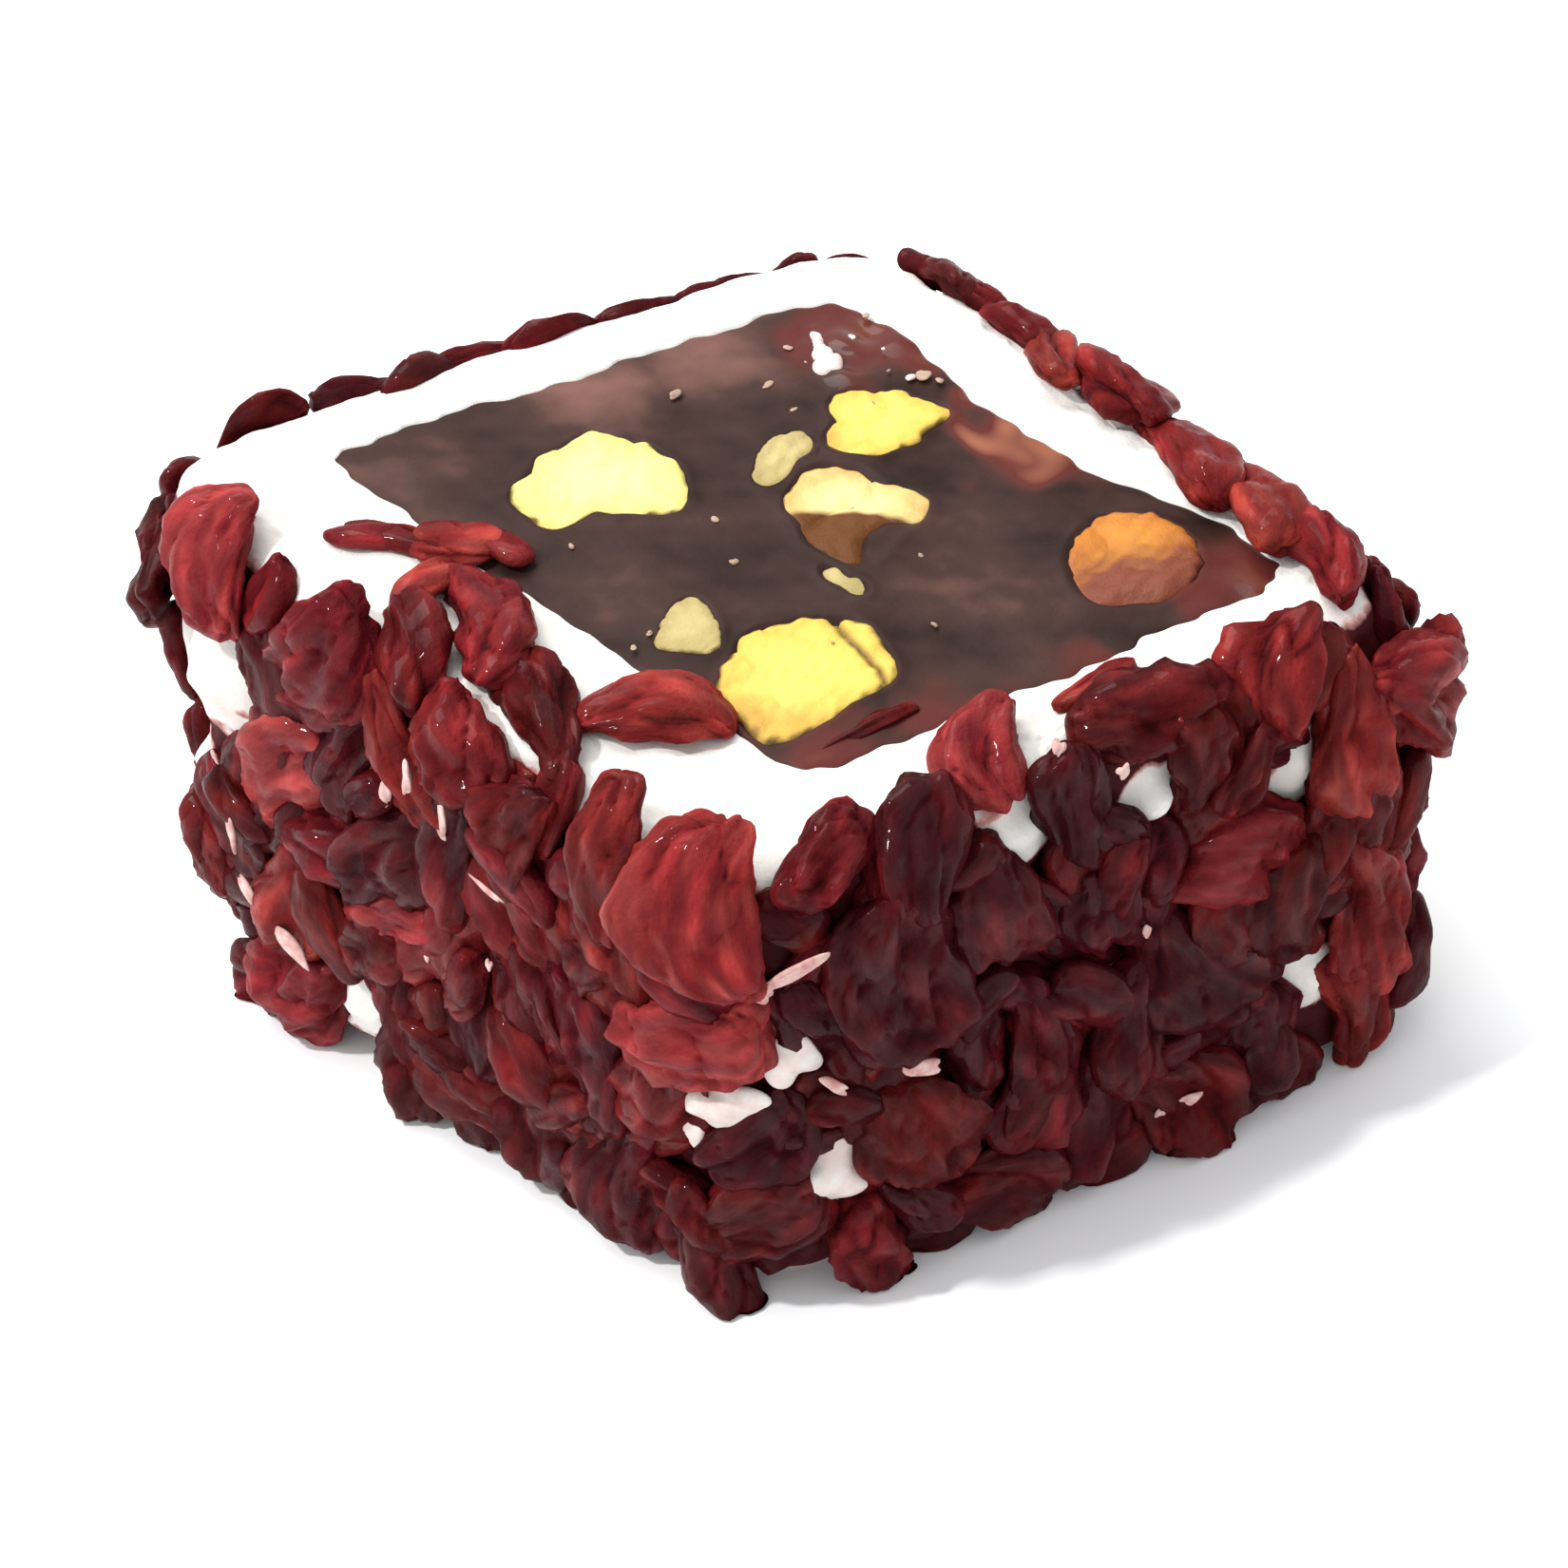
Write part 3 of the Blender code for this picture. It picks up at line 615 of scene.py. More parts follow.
@dataclass(frozen=True)
class BerryFinish:
    """Dried barberry: leathery, from maroon to clear red, with painted shade nearly black in its furrows.
    """

    name: str
    translucence: float
    # Colour of the painted shade in the berries' furrows and creases.
    painted_crevice_shade: Colour = (0.010, 0.0012, 0.0018)
    stops: Stops = ((0.00, (0.050, 0.0032, 0.0056)), (0.25, (0.095, 0.0050, 0.0074)),
                    (0.50, (0.180, 0.0105, 0.0125)), (0.75, (0.285, 0.0215, 0.0225)),
                    (1.00, (0.415, 0.0520, 0.0400)))
    hues: Stops = ((0.00, (0.96, 0.84, 1.12)), (0.45, (1.00, 1.00, 0.94)), (1.00, (0.88, 1.00, 0.78)))
    repeats: Range = (620.0, 3600.0)
    mottling: float = 0.08
    relief: Range = (0.00020, 0.7)

    def material(self) -> bpy.types.Material:
        """Build the material.

        Returns:
            The material.
        """
        make = Material(self.name)
        mottle, grain = make.grain(*self.repeats)
        tone, hollow, hue = make.paint()
        skin = make.add("ShaderNodeAttribute", attribute_name="skin").outputs["Vector"]
        fibre = make.spread(make.noise(skin, 1.15, 5.0, 0.62), 0.32, 0.68)
        shade = make.patchy(tone, mottle, self.mottling)
        shade = make.sum(shade, make.spread(fibre, 0.0, 1.0, -0.16, 0.14))
        colour = make.blend(1.0, make.ramp(shade, self.stops), make.ramp(hue, self.hues), "MULTIPLY")
        furrow = make.noise(skin, 0.80, 4.0, 0.5, noise_type="RIDGED_MULTIFRACTAL")
        # Painted shade: the hollow paint and the low parts of the furrow noise darken the skin towards the
        # crevice colour.
        painted_shade = make.sum(make.sum(hollow, 0.85, "MULTIPLY"), make.spread(furrow, 0.25, 0.0, 0.0, 0.55),
                        "MAXIMUM")
        colour = make.blend(painted_shade, colour, self.painted_crevice_shade)
        height = make.sum(make.sum(furrow, 0.7, "MULTIPLY"),
                          make.sum(make.sum(fibre, 0.6, "MULTIPLY"), grain))
        moist = make.sum(make.spread(fibre, 0.1, 0.9, 0.08, 0.26),
                         make.spread(hollow, 0.0, 0.5, 1.0, 0.0), "MULTIPLY")
        return make.finished(
            (height, *self.relief), Base_Color=colour,
            Roughness=make.spread(mottle, 0.0, 1.0, 0.40, 0.60), Specular_IOR_Level=0.03,
            Coat_Weight=moist, Coat_Roughness=0.075, Subsurface_Weight=self.translucence,
            Subsurface_Scale=0.0010, Subsurface_Radius=(1.0, 0.16, 0.12))


@dataclass(frozen=True)
class KernelFinish:
    """Cut pistachio: pale flesh in the middle, yellower towards the rim, olive at its edge and in its
    crack, partly its skin and partly painted shade.
    """

    tone: KernelTone
    flesh: Colour
    rim: Colour
    film: Colour
    skin: Colour
    roughness: float
    repeats: Range = (800.0, 4200.0)
    mottling: float = 0.20
    relief: Range = (0.00012, 0.6)

    def material(self) -> bpy.types.Material:
        """Build the material.

        Returns:
            The material.
        """
        make = Material(self.tone.value)
        mottle, grain = make.grain(*self.repeats)
        radius, film, side = make.paint()
        ringed = make.spread(make.patchy(radius, mottle, self.mottling), 0.35, 1.0)
        colour = make.blend(ringed, self.flesh, self.rim)
        colour = make.blend(film, colour, self.film)
        # The side paint is olive at the edge and in the crack: partly the kernel's skin, partly painted
        # shade.
        colour = make.blend(side, colour, self.skin)
        return make.finished(
            (grain, *self.relief), Base_Color=colour, Roughness=self.roughness,
            Subsurface_Weight=0.10, Subsurface_Scale=0.0010, Subsurface_Radius=(1.0, 0.8, 0.4),
            Specular_IOR_Level=0.15)


@dataclass(frozen=True)
class SpeckFinish:
    """Plain finish of tiny bits, mottled between two colours."""

    pale: Colour
    deep: Colour
    coarse: float
    roughness: float
    depth: float
    fine: float = 5000.0
    strength: float = 0.5

    def material(self, name: str) -> bpy.types.Material:
        """Build the material of one piece.

        Args:
            name: Name of the piece.

        Returns:
            The material.
        """
        make = Material(name + "_surface")
        mottle, grain = make.grain(self.coarse, self.fine)
        return make.finished(
            (grain, self.depth, self.strength), Base_Color=make.blend(mottle, self.pale, self.deep),
            Roughness=self.roughness, Specular_IOR_Level=0.2)


@dataclass
class NougatWrap:
    """White nougat round the jelly."""

    form: SliceForm
    columns: int = 480
    wall_rows: int = 66
    rim_rows: int = 26
    lumps: Ripple = Ripple(11, 7.0)
    dimples: Ripple = Ripple(12, 1.9)
    crumb: Ripple = Ripple(13, 0.6)
    wall_relief: Triple = (0.22, 0.15, 0.03)
    rim_relief: Range = (0.20, 0.05)
    rim_raised: float = 0.06
    rim_free: float = 0.955
    foot_free: float = 0.012
    bare_share: float = 0.9
    bare_swell: float = 1.1
    swell_reach: float = 1.1
    swell_end: Range = (0.94, 0.1)
    foot_fade: float = 0.06
    inner_depth: float = 3.0
    foot_step: float = 1.0
    stain_reach: Range = (0.62, 0.5)
    stain_ragged: float = 0.22
    blush: float = 0.22
    rim_blush: float = 0.15

    def surface(self) -> tuple[Array, Array]:
        """Closed ring: outer wall, rim, inner wall and underside, row after row.

        Each row is a curve round the slice. The rim's rows run from the wall's upper edge to the
        jelly's edge. Lumps, dimples and crumb push the skin outwards or upwards by sums of waves,
        and the wall swells out where no berry holds it back.

        Returns:
            Points in mm and paint of berry cover and blush, both on rows and columns.
        """
        turn = np.arange(self.columns)[None, :] / self.columns - 0.5
        share = np.linspace(0, 1, self.wall_rows)[:, None]
        level = 0.5 - 0.5 * np.cos(np.pi * share)
        wall = self.form.wall(turn, level)
        lumpy, dimpled, crumbly = self.wall_relief
        uneven = lumpy * self.lumps.at(wall) + dimpled * self.dimples.at(wall)
        uneven += crumbly * self.crumb.at(wall)
        reach = self.bare_reach(wall)
        top, span = self.swell_end
        uneven += (self.bare_swell * np.clip(self.swell_reach - reach, 0, 1)
                   * np.clip((top - level) / span, 0, 1))
        fade = np.clip(level / self.foot_fade, 0, 1)
        wall = wall + self.form.wall_normal(turn, level) * (uneven * fade)[..., None]

        edge = self.form.jelly_edge(turn, 1.0)
        inner = raised(edge, self.form.top_height(edge))
        rim_share = np.linspace(0, 1, self.rim_rows + 1)[1:, None, None]
        rim = wall[-1:] + (inner - wall[-1:]) * rim_share
        dimpled, crumbly = self.rim_relief
        relief = dimpled * self.dimples.at(rim) + crumbly * self.crumb.at(rim)
        rim[..., 2] += relief * (1 - 0.8 * rim_share[..., 0]) + self.rim_raised

        deep = rim[-1:] - np.array([0, 0, self.inner_depth])
        under = raised(self.form.jelly_edge(turn, 0.0))
        middle = 0.5 * (wall[:1] + under) * np.array([1, 1, 0])
        foot = under + np.array([0, 0, self.foot_step])
        points = np.concatenate([wall, rim, deep, foot, under, middle])

        # Berry cover: under the berries the wall is painted near-black red, partly juice stain and partly
        # painted shade in the gaps between them.
        cover = np.zeros(points.shape[:-1])
        ragged = reach + self.stain_ragged * self.dimples.at(wall)
        start, span = self.stain_reach
        cover[:self.wall_rows] = (np.clip((ragged - start) / span, 0, 1)
                                  * np.clip((1 - level) / (1 - self.rim_free) - 0.2, 0, 1)
                                  * np.clip(level / self.foot_free - 0.2, 0, 1))
        blush = np.clip(0.2 + 0.8 * self.lumps.at(points * 1.7 + 3.0), 0, 1) * self.blush
        blush[self.wall_rows:] *= self.rim_blush
        return points, np.stack([cover, blush, blush], axis=-1)

    def bare_reach(self, wall: Array) -> Array:
        """Distance to the nearest bare spot, as a share of that spot's radius.

        Args:
            wall: Points of the outer wall, in mm.

        Returns:
            Shares, below 1 inside a bare spot.
        """
        bare = np.array([self.form.wall(turn, level) for turn, level, _ in BARE_SPOTS])
        radii = np.array([radius for _, _, radius in BARE_SPOTS]) * self.bare_share
        return (np.linalg.norm(wall[:, :, None, :] - bare, axis=-1) / radii).min(axis=-1)

    def build(self) -> list[Piece]:
        """Make the one piece.

        Returns:
            The piece, in a list.
        """
        points, paint = self.surface()
        piece = make_piece("nougat", self.form.placed(points.reshape(-1, 3)),
                           grid_faces(points.shape[0], self.columns, True), np.empty((0, 3), int),
                           paint.reshape(-1, 3))
        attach(piece, ROOT_BODY)
        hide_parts("nougat_wrap")
        return [piece]

    def dress(self, pieces: list[Piece]) -> None:
        """Give the piece its finish."""
        pieces[0].data.materials.append(NougatFinish().material())


def oval(length: float, width: float, spin: float) -> tuple[float, ...]:
    """Sixteen radii of an ellipse at even angles.

    Args:
        length: Long diameter.
        width: Short diameter.
        spin: Direction of the long diameter in degrees from +X.

    Returns:
        The radii.
    """
    angle = np.arange(16) / 16 * 2 * np.pi - math.radians(spin)
    radii = 1 / np.hypot(np.cos(angle) / (length / 2), np.sin(angle) / (width / 2))
    return tuple(float(radius) for radius in radii)


@dataclass(frozen=True)
class Kernel:
    """One pistachio piece set in a cut face, in mm.

    The outline is given by sixteen radii at even angles from +X about the middle. A film spot is
    X, Y, radius and strength on the face, and a crack is a line of points on it. The jelly closes
    over the kernel at its sunk spots.
    """

    node: str
    x: float
    y: float
    radii: tuple[float, ...]
    depth: float
    seed: int
    tone: KernelTone
    film: tuple[Spot, ...] = ()
    crack: tuple[Range, ...] = ()
    sunk: tuple[Spot, ...] = ()
    on_top: bool = True


KERNELS: tuple[Kernel, ...] = (
    Kernel("pistachio_left", -8.57, -4.31,
           (3.15, 4.47, 4.26, 3.95, 3.53, 3.47, 3.42, 3.75, 3.42, 3.71, 3.75, 4.41, 4.10, 3.96,
            2.56, 2.62), 4.2, 1, KernelTone.PALE),
    Kernel("pistachio_rear", -4.10, 8.30,
           (2.28, 2.37, 2.68, 3.49, 2.70, 2.49, 2.35, 2.43, 2.82, 2.90, 2.35, 2.54, 3.12, 2.88,
            2.65, 2.40), 3.4, 2, KernelTone.YELLOW,
           film=((-0.7, 7.2, 2.0, 1.0), (-0.7, 8.4, 1.2, 0.8), (-4.6, 5.4, 1.3, 0.7))),
    Kernel("pistachio_rear_sliver", -4.71, 3.30,
           (1.12, 1.01, 1.09, 1.57, 1.97, 2.10, 1.80, 1.50, 1.34, 1.20, 1.24, 1.35, 1.78, 2.26,
            2.04, 1.49), 2.2, 3, KernelTone.GREENISH,
           film=((-4.8, 0.9, 2.0, 0.4),)),
    Kernel("pistachio_middle", 0.18, 3.65,
           (3.55, 3.33, 3.87, 3.74, 2.91, 2.67, 2.98, 3.31, 3.56, 3.28, 3.20, 2.70, 2.82, 3.10,
            3.60, 4.10), 3.8, 4, KernelTone.AMBER,
           film=((9.24, -4.22, 12.1, 150.0),),
           sunk=((3.7, 4.0, 2.2, 1.0),)),
    Kernel("pistachio_middle_sliver", 4.1, 0.75,
           (1.37, 1.45, 1.10, 0.78, 0.62, 0.55, 0.62, 0.80, 1.44, 1.54, 1.00, 0.71, 0.61, 0.62,
            0.70, 0.90), 2.0, 5, KernelTone.GREENISH,
           film=((4.6, 1.2, 1.6, 0.5),)),
    Kernel("pistachio_right", 10.82, 12.02,
           (3.23, 3.20, 3.21, 3.22, 3.20, 3.20, 3.20, 3.30, 3.34, 3.13, 3.08, 3.15, 3.32, 3.51,
            3.42, 3.34), 4.0, 6, KernelTone.ORANGE,
           film=((13.2, 10.4, 5.2, 1.0), (13.8, 13.4, 4.0, 1.0)),
           sunk=((14.6, 9.8, 2.6, 0.7), (14.9, 12.6, 1.8, 0.6))),
    Kernel("pistachio_front_small", 2.25, -6.55,
           (1.96, 1.80, 1.51, 1.40, 1.40, 1.63, 2.07, 2.06, 1.65, 1.42, 1.40, 1.54, 1.94, 1.74,
            1.62, 1.73), 2.6, 7, KernelTone.GREENISH),
    Kernel("pistachio_front", 7.95, -4.19,
           (3.14, 3.16, 4.10, 4.30, 4.25, 4.24, 3.88, 3.64, 3.91, 3.79, 3.69, 4.16, 4.02, 4.40,
            4.40, 3.52), 4.2, 8, KernelTone.YELLOW,
           film=((9.2, -8.0, 2.6, 0.55), (10.8, -6.2, 2.0, 0.45), (5.9, -7.6, 1.2, 0.3)),
           crack=((5.97, -1.11), (7.25, -1.22), (8.59, -1.25), (9.74, -1.28), (10.81, -1.64))),
    Kernel("pistachio_base_left", -6.6, -6.0, oval(8.2, 6.4, 20), 4.0, 11, KernelTone.PALE,
           on_top=False),
    Kernel("pistachio_base_right", 8.4, 3.6, oval(8.8, 6.8, 70), 4.2, 12, KernelTone.YELLOW,
           on_top=False),
    Kernel("pistachio_base_rear", -3.8, 5.6, oval(6.2, 5.0, 115), 3.4, 13, KernelTone.AMBER,
           film=((-2.6, 6.6, 3.6, 1.0),), on_top=False),
    Kernel("pistachio_base_front", 4.6, -6.6, oval(5.0, 3.8, 35), 2.8, 14, KernelTone.GREENISH,
           on_top=False),
)


def spots_over(points: Array, spots: Sequence[Spot]) -> Array:
    """Highest of several soft round spots, each strength * (1 - (d / radius)^2)^2 inside it.

    Args:
        points: Points in mm whose last axis starts with X, Y.
        spots: X, Y, radius and strength of each spot.

    Returns:
        Array without the last axis.
    """
    total = np.zeros(points.shape[:-1])
    for x, y, radius, strength in spots:
        near = 1 - ((points[..., 0] - x) ** 2 + (points[..., 1] - y) ** 2) / radius ** 2
        total = np.maximum(total, strength * np.clip(near, 0, 1) ** 2)
    return total


def kernel_outline(kernel: Kernel, angle: Array) -> Array:
    """Radius of a kernel's outline: the trigonometric curve through its sixteen radii.

    Args:
        kernel: The kernel.
        angle: Directions from +X, in radians.

    Returns:
        Radii in mm.
    """
    count = len(kernel.radii)
    terms = np.fft.rfft(kernel.radii) / count
    total = np.full(np.shape(angle), terms[0].real)
    for order in range(1, count // 2):
        total = total + 2 * (terms[order] * np.exp(1j * order * angle)).real
    return total + terms[count // 2].real * np.cos(count // 2 * angle)


@dataclass
class JellyCore:
    """Dark jelly through the middle of the slice."""

    form: SliceForm
    columns: int = 480
    rings: int = 96
    base_rings: int = 40
    first_shares: Range = (0.012, 0.02)
    recess: float = 0.02
    dome: float = 0.35
    swell_height: float = 0.12
    smear_height: float = 0.03
    pit_height: float = 0.015
    wet_lumps: float = 0.30
    lip: Range = (0.10, 0.35)
    hollow: float = 0.35
    bank: float = 0.7
    edge: Triple = (0.10, 0.975, 0.025)
    wall_depth: float = 2.0
    smear_tone: float = 0.19
    smear_tones: Triple = (0.10, 0.06, 0.06)
    drag: Range = (0.80, 0.60)
    drag_length: float = 0.45
    spot_drift: float = 1.3
    swell: Ripple = Ripple(21, 9.0)
    smear: Ripple = Ripple(22, 3.4)
    pits: Ripple = Ripple(23, 1.1)
    lumps: Ripple = Ripple(24, 2.4)
    warm_spots: tuple[Spot, ...] = (
        (-10.0, 11.8, 6.4, 0.60), (15.0, 15.6, 5.6, 0.60), (13.8, -1.0, 3.6, 0.45),
        (12.6, -6.6, 4.2, 0.55), (8.0, -8.8, 4.0, 0.55), (15.6, 6.0, 3.4, 0.40),
        (-0.4, 12.6, 3.6, 1.0), (2.4, 13.2, 3.8, 1.0))
    wet_spots: tuple[Spot, ...] = ((-9.6, 10.6, 3.6, 1.0), (-8.2, 8.8, 2.2, 0.9), (15.0, 15.6, 3.0, 0.5))
    pale_spots: tuple[Spot, ...] = (
        (-15.0, -11.5, 6.5, 0.30), (-14.2, -1.0, 5.4, 0.66), (-13.6, 5.0, 5.4, 0.76),
        (11.4, 4.6, 6.0, 0.16), (5.4, 5.8, 4.6, 0.30), (-2.2, -8.8, 4.0, 0.28), (-9.9, 5.0, 3.6, 0.20))

    def drag_space(self, points: Array) -> Array:
        """Points stretched along the way the knife dragged, so that waves there become smears.

        Args:
            points: Points in mm.

        Returns:
            Points along and across that way.
        """
        along = points[..., 0] * self.drag[0] + points[..., 1] * self.drag[1]
        across = -points[..., 0] * self.drag[1] + points[..., 1] * self.drag[0]
        return np.stack([along * self.drag_length, across, 0 * across], axis=-1)

    def nut_distance(self, points: Array, on_top: bool) -> Array:
        """Least distance to a kernel's outline in one face, along the line to its middle.

        Args:
            points: Points on the face, in mm.
            on_top: Whether the face is the upper one.

        Returns:
            Distances in mm, below 0 inside an outline.
        """
        nearest = np.full(points.shape[:-1], FAR)
        for kernel in KERNELS:
            if kernel.on_top == on_top:
                dx, dy = points[..., 0] - kernel.x, points[..., 1] - kernel.y
                outline = kernel_outline(kernel, np.arctan2(dy, dx))
                nearest = np.minimum(nearest, np.hypot(dx, dy) - outline)
        return nearest

    def face(self, turn: Array) -> Array:
        """Cut face as rings round its middle, from the middle outwards.

        It is the leaning plane plus a low dome, long swells, smears, wet lumps, a lip and a
        hollow at each kernel, and a rounded edge.

        Args:
            turn: Share of one turn of each column.

        Returns:
            Points in mm.
        """
        share = np.linspace(self.first_shares[0], 1, self.rings)[:, None]
        turn, share = np.broadcast_arrays(turn, share)
        flat = raised(self.form.jelly_edge(turn, 1.0, share))
        near = self.nut_distance(flat, True)
        closed = np.max([spots_over(flat, kernel.sunk) for kernel in KERNELS], axis=0)
        height = self.form.top_height(flat) - self.recess
        height = height + self.dome * (1 - share ** 2)
        height = height + self.swell_height * self.swell.at(flat) * (1 - share ** 6)
        height = height + self.smear_height * self.smear.at(self.drag_space(flat))
        height = height + self.pit_height * self.pits.at(flat)
        height = height + self.wet_lumps * spots_over(flat, self.wet_spots) * self.lumps.at(flat)
        height = height + self.lip[0] * np.exp(-(near / self.lip[1]) ** 2)
        height = height - self.hollow * np.clip(-near / self.bank, 0, 1) * np.clip(1 - 3 * closed, 0, 1)
        fall, start, span = self.edge
        height = height - fall * np.clip((share - start) / span, 0, 1) ** 2
        return raised(flat[..., :2], height)

    def underside(self, turn: Array) -> Array:
        """Lower face as rings round its middle: flat on the floor, and hollow over its kernels.

        Args:
            turn: Share of one turn of each column.

        Returns:
            Points in mm.
        """
        share = np.linspace(self.first_shares[1], 1, self.base_rings)[:, None] + 0 * turn
        lower = self.form.jelly_edge(turn, 0.0, share)
        inside = np.clip(-self.nut_distance(lower, False) / self.bank, 0, 1)
        return raised(lower, self.hollow * inside)

    def surface(self) -> tuple[Array, Array]:
        """Underside as rings that grow to the edge, then the wall and the cut face's rings.

        Returns:
            Points in mm and paint of warmth, wetness and smears, on rings and columns.
        """
        turn = np.arange(self.columns)[None, :] / self.columns - 0.5
        face = self.face(turn)
        shallow = face[-1:] - np.array([0, 0, self.wall_depth])
        rows = np.concatenate([self.underside(turn), shallow, face[::-1]])

        drift = [self.swell.at(rows * 2.6 + offset) for offset in (0.0, 7.0, 19.0)]
        moved = rows + self.spot_drift * np.stack(drift, axis=-1)
        dragged = self.drag_space(rows)
        broad, fine, slow = self.smear_tones
        bands = self.smear_tone + broad * self.smear.at(dragged)
        bands = bands + fine * self.smear.at(dragged * 2.7 + 5.0)
        bands = bands + slow * self.swell.at(rows * 1.3) + spots_over(rows, self.pale_spots)
        return rows, np.stack([spots_over(moved, self.warm_spots), spots_over(rows, self.wet_spots),
                               np.clip(bands, 0, 1)], axis=-1)

    def build(self) -> list[Piece]:
        """Make the one piece.

        Returns:
            The piece, in a list.
        """
        piece = closed_piece("jelly", self.form, False, *capped(*self.surface()))
        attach(piece, ROOT_BODY)
        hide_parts("jelly_core")
        return [piece]

    def dress(self, pieces: list[Piece]) -> None:
        """Give the piece its finish."""
        pieces[0].data.materials.append(JellyFinish().material())


@dataclass
class Pistachios:
    """Cut pistachio pieces in the upper and lower face."""

    form: SliceForm
    columns: int = 120
    face_rows: int = 34
    side_rows: int = 8
    chips: tuple[Range, ...] = ((9, 0.016), (14, 0.014), (23, 0.012))
    facet_size: float = 5.0
    facet_height: float = 0.26
    fine_size: float = 0.9
    fine_height: float = 0.04
    stands_proud: float = 0.16
    rim_fall: Triple = (0.24, 0.86, 0.14)
    bowl: float = 0.93
    bowl_depth: float = 0.6
    skin_from: Range = (0.93, 0.06)
    crack_depth: float = 0.22
    crack_width: float = 0.3
    sinks: float = 1.3
    seat: float = 0.12
    floor_gap: float = 0.05

    def surface(self, kernel: Kernel) -> tuple[Array, Array]:
        """A broken, cut kernel: a nearly flat face inside an uneven outline, over a rounded bowl.

        The outline is the kernel's own plus small chips. The face has low facets, made by the
        root of the size of a wave, and falls off at the rim. The bowl narrows like the root of
        1 - depth^2.

        Args:
            kernel: The kernel to make.

        Returns:
            Points in mm and paint of radius, film and side, on rows and columns.
        """
        draw = np.random.default_rng(kernel.seed + 300)
        angle = np.arange(self.columns)[None, :] / self.columns * 2 * np.pi
        chips = sum(size * np.sin(order * angle + draw.uniform(0, 6.28)) for order, size in self.chips)
        outline = kernel_outline(kernel, angle) * (1 + chips)
        face_share = np.linspace(0.03, 1, self.face_rows)[::-1, None]
        side_share = np.linspace(0, 1, self.side_rows + 1)[:0:-1, None]
        side_radius = np.sqrt(1 - (side_share * self.bowl) ** 2) * outline
        radius = np.concatenate([side_radius, face_share * outline])
        rows = raised(np.stack([radius * np.cos(angle), radius * np.sin(angle)], axis=-1))
        placed = rows + np.array([kernel.x, kernel.y, 0.0])
        facets = np.sqrt(np.abs(Ripple(kernel.seed + 40, self.facet_size).at(rows + kernel.seed)))
        fine = Ripple(kernel.seed + 60, self.fine_size).at(rows)
        bumps = self.facet_height * (facets - 0.6) + self.fine_height * fine
        fall, start, span = self.rim_fall
        fall = fall * np.clip((face_share - start) / span, 0, 1) ** 2
        cracked = self.crack_mask(kernel, placed)
        face_height = (self.stands_proud + bumps[self.side_rows:] - fall
                       - self.crack_depth * cracked[self.side_rows:])
        side_height = -side_share * kernel.depth * self.bowl_depth - self.seat + 0 * angle
        rows[..., 2] = np.concatenate([side_height, face_height])
        rows[..., 2] -= self.sinks * spots_over(placed, kernel.sunk)

        share = np.concatenate([1 + side_share, face_share]) + 0 * angle
        film = spots_over(placed, kernel.film)
        film = np.clip(film * 1.5 + 0.10 * fine * (film > 0.05), 0, 1)
        # Side paint: olive at the rim band and along the crack, partly skin and partly painted shade at the
        # edge and in the crack.
        start, span = self.skin_from
        side = np.maximum(np.clip((share + 0.03 * fine - start) / span, 0, 1), cracked)
        paint = np.stack([np.clip(share, 0, 1), film, side], axis=-1)
        return self.set_in_place(kernel, rows), paint

    def crack_mask(self, kernel: Kernel, points: Array) -> Array:
        """Closeness to the kernel's crack: 1 on its line, falling to 0 at the crack's width.

        Args:
            kernel: The kernel.
            points: Points on its face, in mm.

        Returns:
            Shares from 0 to 1.
        """
        nearest = np.full(points.shape[:-1], FAR)
        for start, end in zip(kernel.crack, kernel.crack[1:]):
            along = np.array(end) - np.array(start)
            offset = points[..., :2] - np.array(start)
            share = np.clip(offset @ along / (along @ along), 0, 1)
            nearest = np.minimum(nearest, np.linalg.norm(offset - share[..., None] * along, axis=-1))
        return np.clip(1 - nearest / self.crack_width, 0, 1)

    def set_in_place(self, kernel: Kernel, rows: Array) -> Array:
        """Move a kernel to its face and lean it with that face.

        Args:
            kernel: The kernel.
            rows: Its points about its own middle, in mm.

        Returns:
            Points of the slice, in mm.
        """
        spot = rows[..., :2] + np.array([kernel.x, kernel.y])
        if kernel.on_top:
            return raised(spot, rows[..., 2] + self.form.top_height(spot) + self.seat)
        return raised(spot, np.maximum(self.seat - rows[..., 2], self.floor_gap))

    def build(self) -> list[Piece]:
        """Make one piece for each kernel.

        Returns:
            The pieces, in the order of the kernels.
        """
        pieces = []
        for kernel in KERNELS:
            name = kernel.node.replace("pistachio", "kernel")
            piece = closed_piece(name, self.form, not kernel.on_top, *capped(*self.surface(kernel)))
            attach(piece, ROOT_BODY)
            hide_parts(kernel.node)
            pieces.append(piece)
        return pieces

    def dress(self, pieces: list[Piece]) -> None:
        """Give each piece the look of its kernel.

        Args:
            pieces: The pieces, in the order of the kernels.
        """
